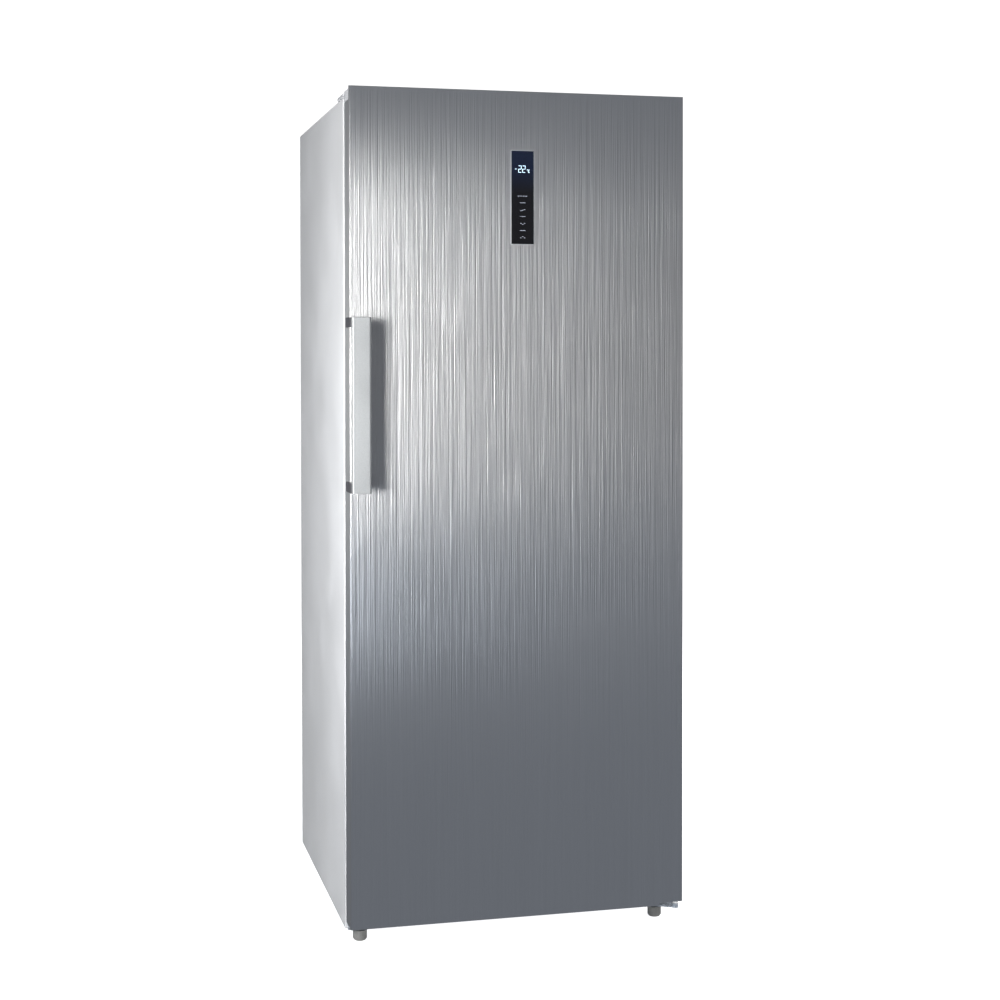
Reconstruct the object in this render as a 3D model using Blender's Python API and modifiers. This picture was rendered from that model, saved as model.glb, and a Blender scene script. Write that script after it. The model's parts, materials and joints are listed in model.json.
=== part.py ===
"""Upright freezer: one door hinged on the right, a side-mounted bar handle and a touch display.

The origin is on the floor under the middle of the whole object. +Z is up and the door faces -Y.
Every length is in metres.
"""

import math

import bmesh
import bpy
from mathutils import Matrix, Vector

# Overall sizes
WIDTH = 0.711
BODY_DEPTH = 0.745  # door's front face to the cabinet's rear
CABINET_HEIGHT = 1.716
FLOOR_CLEARANCE = 0.0285  # floor to the cabinet's underside
DOOR_TOP_RISE = 0.0135  # door's top above the cabinet's top
DOOR_LIFT = 0.0205  # door's lower edge above the cabinet's underside
DOOR_THICKNESS = 0.064
SEAL_SPACE = 0.0126  # door's back to the cabinet's face
HANDLE_REACH = 0.056  # handle's front ahead of the door's

# Sheets, walls and clearances
GAP = 0.0003  # between pieces that touch
SHEET = 0.001
PAN_SHEET = 0.002
LINER = 0.002
SIDE_WALL = 0.060
CEILING_WALL = 0.062
FLOOR_WALL = 0.075
REAR_WALL = 0.055
FACE_FLANGE = 0.030  # width of the steel face round the opening
SILL_HEIGHT = 0.045
FOLD_RADIUS = 0.004
LINER_RADIUS = 0.014
PAST = 0.02  # how far a cutter runs past the face it cuts

# Machine space at the rear, under the step in the liner
MACHINE_DEPTH = 0.215
MACHINE_HEIGHT = 0.200
MACHINE_WALL = 0.055
COVER_SHEET = 0.0015
VENT_ROWS = 9
VENT_LENGTH = 0.085
VENT_HEIGHT = 0.005
VENT_PITCH = 0.015
VENT_INSET = 0.0855  # outer slots inside the cabinet's side
VENT_STEP = 0.105
GLAND_X = -0.06
GLAND_DROP = 0.030  # under the machine space's roof
GLAND_RADIUS = 0.009
GLAND_WALL = 0.003
GLAND_FLANGE = 0.0025
GLAND_LENGTH = 0.014
VENT_RISE = 0.032  # lowest slots above the cover's lower edge

# Top trim and hinge cover
TRIM_DEPTH = 0.073
TRIM_HEIGHT = 0.008
TRIM_SEAT = 0.0004  # depth of the seat pressed in the cabinet's top for the trim
HINGE_COVER_WIDTH = 0.118
HINGE_COVER_RISE = 0.0075  # above the door's top
COVER_WALL = 0.0015
COVER_RADIUS = 0.002
COVER_MARGIN = 0.001  # hinge cover inside the trim

# Door
DOOR_SKIN_RADIUS = 0.003
DOOR_RETURN = 0.012  # skin folded in behind the door
CAP_DEPTH = 0.027
CAP_WALL = 0.0025
CAP_TOP_DROP = 0.0045  # top cap below the skin's front edge
CAP_BOTTOM_RISE = 0.006  # bottom cap above the skin's lower edge
SKIN_CORNER = 0.007  # skin kept at the corner beside the top cap
HINGE_NOTCH = 0.051
SEAL_INSET = 0.014  # seal's outer edge inside the cabinet's edge
SEAL_WIDTH = 0.022
PANEL_CLEARANCE = 0.012  # raised panel inside the opening
PANEL_RISE = 0.022
RAIL_WIDTH = 0.034
RAIL_RISE = 0.070
RAIL_INSET = 0.022
RAIL_MARGIN = 0.010  # rail past the door bins at each end

# Hinge
HINGE_INSET = 0.0125  # axis inside the door's right side
HINGE_SETBACK = 0.013  # axis behind the door's front
PIN_RADIUS = 0.004
PIN_COLLAR_RADIUS = 0.0065
PIN_LENGTH = 0.022
BUSH_RADIUS = 0.006
BUSH_CLEARANCE = 0.0004
HINGE_PLATE = 0.003
HINGE_ARM = 0.0155  # width of the upper hinge's arm
HINGE_PIN_LAP = 0.004  # arm's turn behind the pin
HINGE_FOOT_SPACE = 0.012  # upper hinge's foot to the trim's rear
LEAF_MARGIN = 0.003  # lower hinge's plate round the pin
LEAF_STEP = 0.012
PIN_CHAMFER = 0.0008
PIN_END = 0.001
LOWER_HINGE_SPACE = 0.006  # lower hinge's plate to the door
BUSH_DEPTH = 0.018
BUSH_FLANGE = 0.006
BOSS_WALL = 0.0035
PEDESTAL_INSET = 0.030  # upper hinge's raised seat inside the cabinet's side
PEDESTAL_SETBACK = 0.030
PEDESTAL_REAR_SPACE = 0.014

# Handle
HANDLE_LENGTH = 0.352
HANDLE_BOTTOM = 0.8905  # above the door's lower edge
HANDLE_WIDTH = 0.038
HANDLE_OVERHANG = 0.003  # bar past the door's left side
HANDLE_BAR = 0.013
HANDLE_CHAMFER = 0.006
HANDLE_CROWN = 0.0015
ARM_PLATE = 0.005
ARM_HEIGHT = 0.020
ARM_LAP = 0.019  # arm along the door's side
ARM_FOOT = 0.009

# Display in the door
DISPLAY_LEFT = 0.336  # from the door's left side
DISPLAY_WIDTH = 0.0495
DISPLAY_DROP = 0.1215  # display's top below the door's
DISPLAY_HEIGHT = 0.1935
DISPLAY_DEPTH = 0.016
BEZEL_WALL = 0.0012
BEZEL_PROUD = 0.0008
WINDOW = 0.003
BOARD = 0.0016
BOARD_SETBACK = 0.007

# Feet and rollers
FOOT_RADIUS = 0.01475
FOOT_HEIGHT = 0.022
FOOT_INSET = 0.033  # centre inside the cabinet's side
FOOT_SETBACK = 0.0125  # centre behind the cabinet's face
FOOT_FLUTES = 16
FOOT_CHAMFER = 0.001
FOOT_TOE = 0.003
FOOT_TOE_HEIGHT = 0.004
FLUTE_RADIUS = 0.0012
FLUTE_CENTRE = 1.035 * FOOT_RADIUS
FLUTE_RISE = 0.005
STUD_RADIUS = 0.004
STUD_LENGTH = 0.032
BRACKET = 0.0025
BRACKET_DEPTH = 0.055
BRACKET_WIDTH = 0.072
BRACKET_INSET = 0.006
HINGE_BRACKET_WIDTH = 0.112
ROLLER_RADIUS = 0.0125
ROLLER_WIDTH = 0.018
ROLLER_INSET = 0.060
ROLLER_SETBACK = 0.050  # centre ahead of the cabinet's rear
AXLE_RADIUS = 0.003
ROLLER_CLEARANCE = 0.0004
AXLE_PROUD = 0.003
CHEEK_CLEARANCE = 0.001
CHEEK_HALF = 0.016
CHEEK_LOW = 0.004  # roller bracket above the floor

# Inside the cabinet
SHELF_COUNT = 4
SHELF_FRONT = 0.118  # shelf's front behind the cabinet's face
SHELF_FRAME = 0.014
GLASS = 0.004
SHELF_LIP = 0.008
SHELF_SIDE_CLEARANCE = 0.0015
LEDGE = 0.009
LEDGE_HEIGHT = 0.008
TOP_SPACE = 0.250  # highest shelf under the ceiling
LAMP_WIDTH = 0.130
LAMP_DEPTH = 0.055
LAMP_HEIGHT = 0.018
LAMP_SETBACK = 0.045
SHELF_REAR_SPACE = 0.004
EVAPORATOR_HALF_X = 0.20
EVAPORATOR_HALF_Y = 0.019
EVAPORATOR_HEIGHT = 0.15
EVAPORATOR_RISE = 0.045
AIR_SLOT_X = 0.16
AIR_SLOT_HALF = 0.055
AIR_SLOT_HEIGHT = 0.006
GUARD_HALF = 0.0015  # half a guard bar's height
GUARD_LAP = 0.008  # guard bar past the fan's opening
COIL_SPACE = 0.058  # depth behind the duct panel
DUCT_PANEL = 0.003
FAN_RADIUS = 0.055
FAN_HOLE_CLEARANCE = 0.004
FAN_DEPTH = 0.014
FAN_BLADES = 5
FAN_HUB = 0.016
FAN_SHAFT = 0.0025
FAN_RUNNING_GAP = 0.0025
BLADE_ROOT = 0.003  # blade inside the hub
BLADE_HALF = 0.013
BLADE_THIN = 0.0011  # half the blade's thickness
STRUT = 0.003
STRUT_HALF = 0.005
STRUT_LEG = 0.007
STRUT_REACH = 0.014  # strut past the blades
MOTOR_RADIUS = 0.018
MOTOR_LENGTH = 0.022
MOTOR_SET = 0.010
SHROUD = 0.003
SHROUD_X = -0.055  # condenser fan's shroud from the middle
COLD_FAN_DROP = 0.160  # cold fan's centre under the ceiling
LOWEST_SHELF_RISE = 0.010  # above the step
AIR_SLOT_PLACE = 0.72  # air slots between two shelves, as a part of their pitch

# Slide-out bin
BIN_WALL = 0.003
BIN_FRONT = 0.104  # bin's front behind the cabinet's face
BIN_RISE = 0.008  # bin's floor above the liner's
BIN_DROP = 0.017  # bin's rim under the liner's step
BIN_RIM = 0.016
BIN_SIDE_SPACE = 0.006
GRIP_HALF = 0.075
GRIP_DEPTH = 0.034

# Door bins
DOOR_BIN_COUNT = 4
DOOR_BIN_REACH = 0.085
DOOR_BIN_HEIGHT = 0.100
DOOR_BIN_WALL = 0.0025
LOWEST_DOOR_BIN = 0.315  # above the cabinet's underside
DOOR_BIN_DROP = 0.396  # highest door bin's floor below the cabinet's top

# Compressor and condenser
COMPRESSOR_RADIUS = 0.068
COMPRESSOR_HEIGHT = 0.150
COMPRESSOR_DOME = 0.045
SEAM_PROUD = 0.003
SEAM_LOW = 0.074
SEAM_HIGH = 0.080
PLATE_HALF = (0.095, 0.055)
PLATE_LOW = 0.008
PLATE_HIGH = 0.022
MOUNT_X = 0.078
MOUNT_Y = 0.038
RELAY_HALF = 0.030
RELAY_LOW = 0.085
RELAY_HIGH = 0.130
COMPRESSOR_INSET = 0.1405  # centre inside the cabinet's right side
CONDENSER_TUBE = 0.003
CONDENSER_PASSES = 7
CONDENSER_RISE = 0.054  # lowest pass above the cabinet's underside
CONDENSER_DROP = 0.044  # highest pass under the machine space's roof
CONDENSER_SIDE_SPACE = 0.069  # cabinet's left side to the coil
CONDENSER_FAN_SPACE = 0.0385  # coil to the fan's shroud
SHROUD_MARGIN = 0.012
SHROUD_REAR_SPACE = 0.020
TRAY_MARGIN = 0.0085  # drain tray past the coil
TRAY_HALF = 0.075
TRAY_HEIGHT = 0.035
CONTROL_HALF = 0.075
CONTROL_DEPTH = 0.115
CONTROL_HEIGHT = 0.028
CONTROL_REAR_SPACE = 0.025
FIN_COUNT = 14

# Planes that follow from the sizes
HALF = WIDTH / 2
FRONT = (HANDLE_REACH - BODY_DEPTH) / 2
REAR = FRONT + BODY_DEPTH
DOOR_BACK = FRONT + DOOR_THICKNESS
FACE = DOOR_BACK + SEAL_SPACE
BASE = FLOOR_CLEARANCE
TOP = BASE + CABINET_HEIGHT
DOOR_LOW = BASE + DOOR_LIFT
DOOR_HEIGHT = TOP + DOOR_TOP_RISE - DOOR_LOW
DOOR_HIGH = DOOR_LOW + DOOR_HEIGHT
INSIDE = HALF - SIDE_WALL
FLOOR = BASE + FLOOR_WALL
CEILING = TOP - CEILING_WALL
INSIDE_REAR = REAR - REAR_WALL
MACHINE_FRONT = REAR - MACHINE_DEPTH
MACHINE_TOP = BASE + MACHINE_HEIGHT
STEP_FRONT = MACHINE_FRONT - MACHINE_WALL
STEP_TOP = MACHINE_TOP + MACHINE_WALL
DUCT_FRONT = INSIDE_REAR - COIL_SPACE
HINGE_X = HALF - HINGE_INSET
HINGE_Y = FRONT + HINGE_SETBACK
CAP_HIGH = DOOR_HIGH - CAP_TOP_DROP
CAP_LOW = DOOR_LOW + CAP_BOTTOM_RISE
HINGE_PLATE_LOW = CAP_HIGH + GAP + (CAP_TOP_DROP - HINGE_PLATE) / 3
LOWER_PLATE_TOP = DOOR_LOW - LOWER_HINGE_SPACE
SILL_TOP = BASE + SILL_HEIGHT
INSIDE_LIP = HALF - FACE_FLANGE - GAP
FOOT_X = HALF - FOOT_INSET
FOOT_Y = FACE + FOOT_SETBACK
UPPER_PLATE_HIGH = HINGE_PLATE_LOW + HINGE_PLATE
HINGE_DIAGONAL = FACE - HINGE_Y + HINGE_PIN_LAP
PEDESTAL_LOW = (HINGE_X - HINGE_DIAGONAL - HINGE_ARM, FACE + PEDESTAL_SETBACK)
PEDESTAL_HIGH = (HALF - PEDESTAL_INSET, FACE + TRIM_DEPTH - PEDESTAL_REAR_SPACE)
BOSS_RADIUS = BUSH_RADIUS + BOSS_WALL
CAP_INNER = SHEET + GAP + CAP_WALL
CAP_BACK = DOOR_BACK - LINER - GAP
SKIN_INNER_BACK = DOOR_BACK - LINER - GAP - SHEET - GAP
DISPLAY_X = -HALF + DISPLAY_LEFT
DISPLAY_Z = DOOR_HIGH - DISPLAY_DROP - DISPLAY_HEIGHT
MACHINE_MIDDLE = REAR - MACHINE_DEPTH / 2
COMPRESSOR_X = HALF - COMPRESSOR_INSET
CONDENSER_LOW = BASE + CONDENSER_RISE
CONDENSER_PITCH = (MACHINE_TOP - CONDENSER_DROP - CONDENSER_LOW) / (CONDENSER_PASSES - 1)
CONDENSER_LEFT = -HALF + CONDENSER_SIDE_SPACE
CONDENSER_RIGHT = SHROUD_X - CONDENSER_FAN_SPACE
CONDENSER_X = (CONDENSER_LEFT + CONDENSER_RIGHT) / 2
GLAND_Z = MACHINE_TOP - GLAND_DROP
COLD_FAN_Z = CEILING - COLD_FAN_DROP
LOWEST_SHELF = STEP_TOP + LOWEST_SHELF_RISE
SHELF_PITCH = (CEILING - TOP_SPACE - LOWEST_SHELF) / (SHELF_COUNT - 1)
SHELF_LEVELS = [LOWEST_SHELF + index * SHELF_PITCH for index in range(SHELF_COUNT)]
AIR_SLOT_LEVELS = [level + SHELF_PITCH * AIR_SLOT_PLACE for level in SHELF_LEVELS[:-1]]
BIN_HEIGHT = STEP_TOP - BIN_DROP - FLOOR - BIN_RISE
BIN_TOP = FLOOR + BIN_RISE + BIN_HEIGHT
BIN_RIM_LOW = BIN_TOP - BIN_RIM
DOOR_BIN_RUN = CABINET_HEIGHT - LOWEST_DOOR_BIN - DOOR_BIN_DROP
DOOR_BIN_PITCH = DOOR_BIN_RUN / (DOOR_BIN_COUNT - 1)
RAIL_LOW = BASE + LOWEST_DOOR_BIN - RAIL_MARGIN
RAIL_HIGH = RAIL_LOW + 2 * RAIL_MARGIN + DOOR_BIN_RUN + DOOR_BIN_HEIGHT

# Finishes: colour, roughness and metallic
FINISHES = {
    "brushed_steel": ((0.60, 0.61, 0.63), 0.30, 1.0),
    "silver_paint": ((0.62, 0.63, 0.66), 0.35, 0.3),
    "galvanised": ((0.55, 0.57, 0.60), 0.45, 0.9),
    "zinc": ((0.78, 0.82, 0.86), 0.28, 1.0),
    "white_plastic": ((0.86, 0.87, 0.87), 0.40, 0.0),
    "grey_plastic": ((0.55, 0.56, 0.58), 0.50, 0.0),
    "dark_plastic": ((0.06, 0.06, 0.065), 0.45, 0.0),
    "clear_plastic": ((0.80, 0.86, 0.90), 0.15, 0.0),
    "foam": ((0.85, 0.80, 0.62), 0.90, 0.0),
    "rubber": ((0.70, 0.71, 0.72), 0.60, 0.0),
    "satin_aluminium": ((0.70, 0.73, 0.76), 0.35, 1.0),
    "black_glass": ((0.01, 0.01, 0.015), 0.05, 0.0),
    "glass": ((0.75, 0.85, 0.83), 0.05, 0.0),
    "circuit_board": ((0.05, 0.25, 0.10), 0.50, 0.0),
    "black_enamel": ((0.02, 0.02, 0.02), 0.35, 0.2),
    "raw_aluminium": ((0.75, 0.76, 0.77), 0.40, 1.0),
}


def clear_scene():
    for obj in list(bpy.data.objects):
        bpy.data.objects.remove(obj, do_unlink=True)


def new_collection(name):
    found = bpy.data.collections.new(name)
    bpy.context.scene.collection.children.link(found)
    return found


def paint(obj, finish):
    """Gives the object a Principled material of its own."""
    colour, roughness, metallic = FINISHES[finish]
    material = bpy.data.materials.new(f"{obj.name}_{finish}")
    material.use_nodes = True
    shader = material.node_tree.nodes["Principled BSDF"]
    shader.inputs["Base Color"].default_value = (*colour, 1.0)
    shader.inputs["Roughness"].default_value = roughness
    shader.inputs["Metallic"].default_value = metallic
    material.diffuse_color = (*colour, 1.0)
    obj.data.materials.clear()
    obj.data.materials.append(material)
    return obj


def add_object(name, mesh):
    obj = bpy.data.objects.new(name, mesh)
    PARTS.objects.link(obj)
    return obj


def mesh_object(name, bm, smooth=False):
    mesh = bpy.data.meshes.new(name)
    bm.to_mesh(mesh)
    bm.free()
    if smooth:
        mesh.shade_smooth()
        mesh.set_sharp_from_angle(angle=math.radians(35))
    return add_object(name, mesh)


def edges_along(bm, axes):
    """The edges that run along one of the named axes."""
    chosen = []
    for edge in bm.edges:
        run = (edge.verts[1].co - edge.verts[0].co).normalized()
        if any(abs(run["xyz".index(axis)]) > 0.999 for axis in axes):
            chosen.append(edge)
    return chosen


def cube_mesh(low, high):
    low, high = Vector(low), Vector(high)
    bm = bmesh.new()
    bmesh.ops.create_cube(bm, size=1.0)
    bmesh.ops.scale(bm, vec=high - low, verts=bm.verts)
    bmesh.ops.translate(bm, vec=(low + high) / 2, verts=bm.verts)
    return bm


def box(name, low, high, radius=0.0, along="xyz", segments=2):
    """A box between two corners, rounded on the edges that run along the given axes."""
    bm = cube_mesh(low, high)
    if radius:
        edges = edges_along(bm, along)
        bmesh.ops.bevel(
            bm, geom=edges, offset=radius, segments=segments, profile=0.5, affect="EDGES"
        )
    return mesh_object(name, bm)


def open_box(name, low, high, missing, thickness, outward=False, radius=0.0, segments=2):
    """A sheet box without the faces whose outward directions are listed."""
    bm = cube_mesh(low, high)
    gone = [f for f in bm.faces if any(f.normal.dot(Vector(m)) > 0.9 for m in missing)]
    bmesh.ops.delete(bm, geom=gone, context="FACES")
    obj = mesh_object(name, bm)
    if radius:
        round_folds(obj, radius, segments)
    thicken(obj, thickness, 1.0 if outward else -1.0)
    return obj


def round_folds(obj, radius, segments=2):
    bevel = obj.modifiers.new("folds", "BEVEL")
    bevel.width = radius
    bevel.segments = segments
    bevel.limit_method = "ANGLE"
    bevel.angle_limit = math.radians(30)
    bevel.use_clamp_overlap = True


def thicken(obj, thickness, offset):
    solid = obj.modifiers.new("sheet", "SOLIDIFY")
    solid.thickness = thickness
    solid.offset = offset
    solid.use_even_offset = True


def folded_sheet(name, path, run, thickness, offset, radius=0.0):
    """A sheet folded along a path of points and drawn out by the vector run."""
    bm = bmesh.new()
    verts = [bm.verts.new(point) for point in path]
    edges = [bm.edges.new(pair) for pair in zip(verts, verts[1:])]
    made = bmesh.ops.extrude_edge_only(bm, edges=edges)
    moved = [item for item in made["geom"] if isinstance(item, bmesh.types.BMVert)]
    bmesh.ops.translate(bm, vec=run, verts=moved)
    obj = mesh_object(name, bm)
    if radius:
        round_folds(obj, radius)
    thicken(obj, thickness, offset)
    return obj


def turn_to(axis):
    """The rotation that carries +Z onto the named axis."""
    turns = {"x": ("Y", 90.0), "y": ("X", -90.0), "z": ("Z", 0.0)}
    name, angle = turns[axis]
    return Matrix.Rotation(math.radians(angle), 4, name)


def cylinder(name, centre, axis, radius, length, sides=32):
    """A cylinder centred on a point, with its length along x, y or z."""
    bm = bmesh.new()
    bmesh.ops.create_cone(
        bm, cap_ends=True, segments=sides, radius1=radius, radius2=radius, depth=length
    )
    bmesh.ops.transform(bm, matrix=turn_to(axis), verts=bm.verts)
    bmesh.ops.translate(bm, vec=centre, verts=bm.verts)
    return mesh_object(name, bm, smooth=True)


def turned(name, profile, centre, axis="z", steps=32):
    """A solid of revolution. The profile is (radius, height) pairs from the top down."""
    bm = bmesh.new()
    verts = [bm.verts.new((radius, 0.0, height)) for radius, height in profile]
    for pair in zip(verts, verts[1:]):
        bm.edges.new(pair)
    obj = mesh_object(name, bm)
    screw = obj.modifiers.new("turn", "SCREW")
    screw.steps = steps
    screw.render_steps = steps
    screw.use_merge_vertices = True
    screw.merge_threshold = 0.00001
    obj.matrix_world = Matrix.Translation(centre) @ turn_to(axis)
    return obj


def as_mesh(curve, weld=0.00002):
    """A curve object made a mesh with its caps welded, so that Booleans accept it."""
    graph = bpy.context.evaluated_depsgraph_get()
    mesh = bpy.data.meshes.new_from_object(curve.evaluated_get(graph))
    bm = bmesh.new()
    bm.from_mesh(mesh)
    bmesh.ops.remove_doubles(bm, verts=bm.verts, dist=weld)
    bmesh.ops.recalc_face_normals(bm, faces=bm.faces)
    bm.to_mesh(mesh)
    bm.free()
    name, place = curve.name, curve.matrix_world.copy()
    bpy.data.objects.remove(curve)
    obj = add_object(name, mesh)
    obj.matrix_world = place
    return obj


def poly_curve(name, points, closed, dimensions):
    curve = bpy.data.curves.new(name, "CURVE")
    curve.dimensions = dimensions
    spline = curve.splines.new("POLY")
    spline.points.add(len(points) - 1)
    for point, place in zip(spline.points, points):
        point.co = (*place, 1.0)
    spline.use_cyclic_u = closed
    obj = add_object(name, curve)
    bpy.context.view_layer.update()
    return obj


def plate(name, outline, low, high):
    """A flat plate with the given outline in x and y, between two heights."""
    obj = poly_curve(name, [(x, y, 0.0) for x, y in outline], True, "2D")
    obj.data.fill_mode = "BOTH"
    obj.data.extrude = (high - low) / 2
    obj.location.z = (low + high) / 2
    bpy.context.view_layer.update()
    return as_mesh(obj)


def tube(name, points, radius, sides_level=2):
    """A round tube along a path, with closed ends."""
    obj = poly_curve(name, points, False, "3D")
    obj.data.bevel_depth = radius
    obj.data.bevel_resolution = sides_level
    obj.data.use_fill_caps = True
    return obj


def put_away(tool):
    """Keeps a cutter or a joined shape out of the finished object."""
    if tool.name not in TOOLS.objects:
        PARTS.objects.unlink(tool)
        TOOLS.objects.link(tool)
    tool.hide_render = True
    tool.display_type = "WIRE"


def combine(obj, operation, tools):
    for tool in tools:
        step = obj.modifiers.new(tool.name, "BOOLEAN")
        step.operation = operation
        step.object = tool
        step.solver = "EXACT"
        put_away(tool)
    return obj


def cut(obj, *tools):
    return combine(obj, "DIFFERENCE", tools)


def join(obj, *tools):
    return combine(obj, "UNION", tools)


def carry(obj, empty):
    """Parents a piece, and the cutters that shape it, to an empty without moving them."""
    if obj.parent:
        return
    obj.parent = empty
    obj.matrix_parent_inverse = empty.matrix_world.inverted()
    for step in obj.modifiers:
        if step.type == "BOOLEAN":
            carry(step.object, empty)


def on_joint(name, point, makers):
    """Makes the pieces of one moving body on an empty that sits on its joint's axis."""
    before = set(PARTS.objects)
    for make in makers:
        make()
    empty = add_object(name, None)
    empty.location = point
    bpy.context.view_layer.update()
    for obj in set(PARTS.objects) - before - {empty}:
        carry(obj, empty)


# ---- Cabinet -------------------------------------------------------------


def compartment(name, grow):
    """The frozen compartment's shape, grown by a distance on every wall."""
    obj = box(
        name,
        (-INSIDE - grow, FACE - PAST * 2, FLOOR - grow),
        (INSIDE + grow, INSIDE_REAR + grow, CEILING + grow),
        LINER_RADIUS + grow,
        segments=3,
    )
    step = box(
        f"{name}_step",
        (-HALF, STEP_FRONT + grow, BASE - PAST),
        (HALF, REAR + PAST, STEP_TOP - grow),
        LINER_RADIUS - grow,
        along="x",
    )
    return cut(obj, step)


def make_wrap():
    """Both sides and the top, folded from one sheet, with a face flange round the opening."""
    obj = open_box(
        "cabinet_wrap",
        (-HALF, FACE, BASE),
        (HALF, REAR, TOP),
        ((0, 0, -1), (0, 1, 0)),
        SHEET,
        radius=FOLD_RADIUS,
    )
    opening = box(
        "wrap_opening",
        (-HALF + FACE_FLANGE, FACE - PAST, BASE - PAST),
        (HALF - FACE_FLANGE, FACE + PAST, TOP - FACE_FLANGE),
    )
    seat = box(
        "wrap_trim_seat",
        (-WIDTH, FACE - PAST, TOP - TRIM_SEAT),
        (WIDTH, FACE + TRIM_DEPTH + GAP, TOP + PAST),
    )
    return paint(cut(obj, opening, seat), "silver_paint")


def make_back_panel():
    """The rear sheet, stepped forward over the machine space and down to the pan."""
    half = HALF - SHEET - GAP
    path = [
        (-half, REAR, TOP - SHEET - GAP),
        (-half, REAR, MACHINE_TOP),
        (-half, MACHINE_FRONT, MACHINE_TOP),
        (-half, MACHINE_FRONT, BASE + PAN_SHEET + GAP),
    ]
    obj = folded_sheet("back_panel", path, (2 * half, 0, 0), SHEET, -1.0)
    outline = box(
        "back_panel_outline",
        (-half, MACHINE_FRONT - PAST, BASE - PAST),
        (half, REAR + PAST, TOP - SHEET - GAP),
        FOLD_RADIUS,
        along="y",
    )
    return paint(combine(obj, "INTERSECT", [outline]), "galvanised")


def make_foam():
    obj = box(
        "cabinet_foam",
        (-HALF + SHEET + GAP, FACE + SHEET + GAP, BASE + PAN_SHEET + GAP),
        (HALF - SHEET - GAP, REAR - SHEET - GAP, TOP - SHEET - GAP),
        FOLD_RADIUS,
    )
    hollow = compartment("foam_hollow", LINER + GAP)
    lip = box(
        "foam_lip_pocket",
        (-INSIDE_LIP - GAP, FACE - PAST, SILL_TOP),
        (INSIDE_LIP + GAP, FACE + LINER + GAP, TOP - FACE_FLANGE + GAP),
    )
    sill = box(
        "foam_sill_pocket",
        (-HALF + FACE_FLANGE - GAP, FACE - PAST, BASE - PAST),
        (HALF - FACE_FLANGE + GAP, FACE + PAN_SHEET + GAP, SILL_TOP + 2 * GAP),
    )
    machine = box(
        "foam_machine_space",
        (-HALF - PAST, MACHINE_FRONT - SHEET - GAP, BASE - PAST),
        (HALF + PAST, REAR + PAST, MACHINE_TOP + SHEET + GAP),
    )
    cut(obj, hollow, lip, sill, machine)
    for side in (-1, 1):
        well = cylinder(
            f"foam_foot_well_{'l' if side < 0 else 'r'}",
            (side * FOOT_X, FOOT_Y, BASE),
            "z",
            STUD_RADIUS * 1.6,
            2 * STUD_LENGTH,
            sides=16,
        )
        cut(obj, well)
    return paint(obj, "foam")


def make_liner():
    """The thermoformed liner: the compartment, its lip round the opening and its ledges."""
    obj = compartment("cabinet_liner", LINER)
    front = box(
        "liner_front_cut",
        (-WIDTH, FACE - PAST * 4, -PAST),
        (WIDTH, FACE, TOP + PAST),
    )
    lip = box(
        "liner_lip",
        (-INSIDE_LIP, FACE, SILL_TOP + GAP),
        (INSIDE_LIP, FACE + LINER, TOP - FACE_FLANGE - GAP),
    )
    cut(obj, front)
    join(obj, lip)
    cut(obj, compartment("liner_inside", 0.0))
    for number, level in enumerate(SHELF_LEVELS, 1):
        add_ledges(obj, f"shelf_{number}", level, SHELF_FRONT + PAST, DUCT_FRONT - GAP)
    add_ledges(obj, "bin", BIN_RIM_LOW, BIN_FRONT + PAST, STEP_FRONT - LINER_RADIUS)
    return paint(obj, "white_plastic")


def add_ledges(liner, label, level, front, rear):
    """A ledge on each side wall, with its top just under the piece that rests on it."""
    for side in (-1, 1):
        x_low, x_high = sorted((side * (INSIDE - LEDGE), side * (INSIDE + LINER / 2)))
        ledge = box(
            f"ledge_{label}_{'l' if side < 0 else 'r'}",
            (x_low, FACE + front, level - GAP - LEDGE_HEIGHT),
            (x_high, rear, level - GAP),
        )
        join(liner, ledge)


def make_top_trim():
    obj = box(
        "top_trim",
        (-HALF, FACE, TOP - TRIM_SEAT + GAP),
        (HALF, FACE + TRIM_DEPTH, TOP + TRIM_HEIGHT),
        0.002,
        along="xy",
    )
    pocket = box(
        "trim_hinge_pocket",
        (PEDESTAL_LOW[0] - GAP, PEDESTAL_LOW[1] - GAP, TOP - PAST),
        (PEDESTAL_HIGH[0] + GAP, PEDESTAL_HIGH[1] + GAP, TOP + PAST * 2),
    )
    return paint(cut(obj, pocket), "grey_plastic")


def make_hinge_cover():
    """A cap over the upper hinge, open below and where the arm comes out."""
    low = (HALF - HINGE_COVER_WIDTH, FACE + COVER_MARGIN, TOP + TRIM_HEIGHT + GAP)
    high = (HALF - 2 * COVER_MARGIN, FACE + TRIM_DEPTH - COVER_MARGIN, DOOR_HIGH + HINGE_COVER_RISE)
    obj = open_box("hinge_cover", low, high, ((0, 0, -1),), COVER_WALL, radius=COVER_RADIUS)
    slot = box(
        "hinge_cover_slot",
        (low[0] + 3 * COVER_RADIUS, FACE - PAST, TOP),
        (high[0] - COVER_RADIUS - GAP, low[1] + 3 * COVER_RADIUS, UPPER_PLATE_HIGH + 0.001),
    )
    return paint(cut(obj, slot), "grey_plastic")


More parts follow.
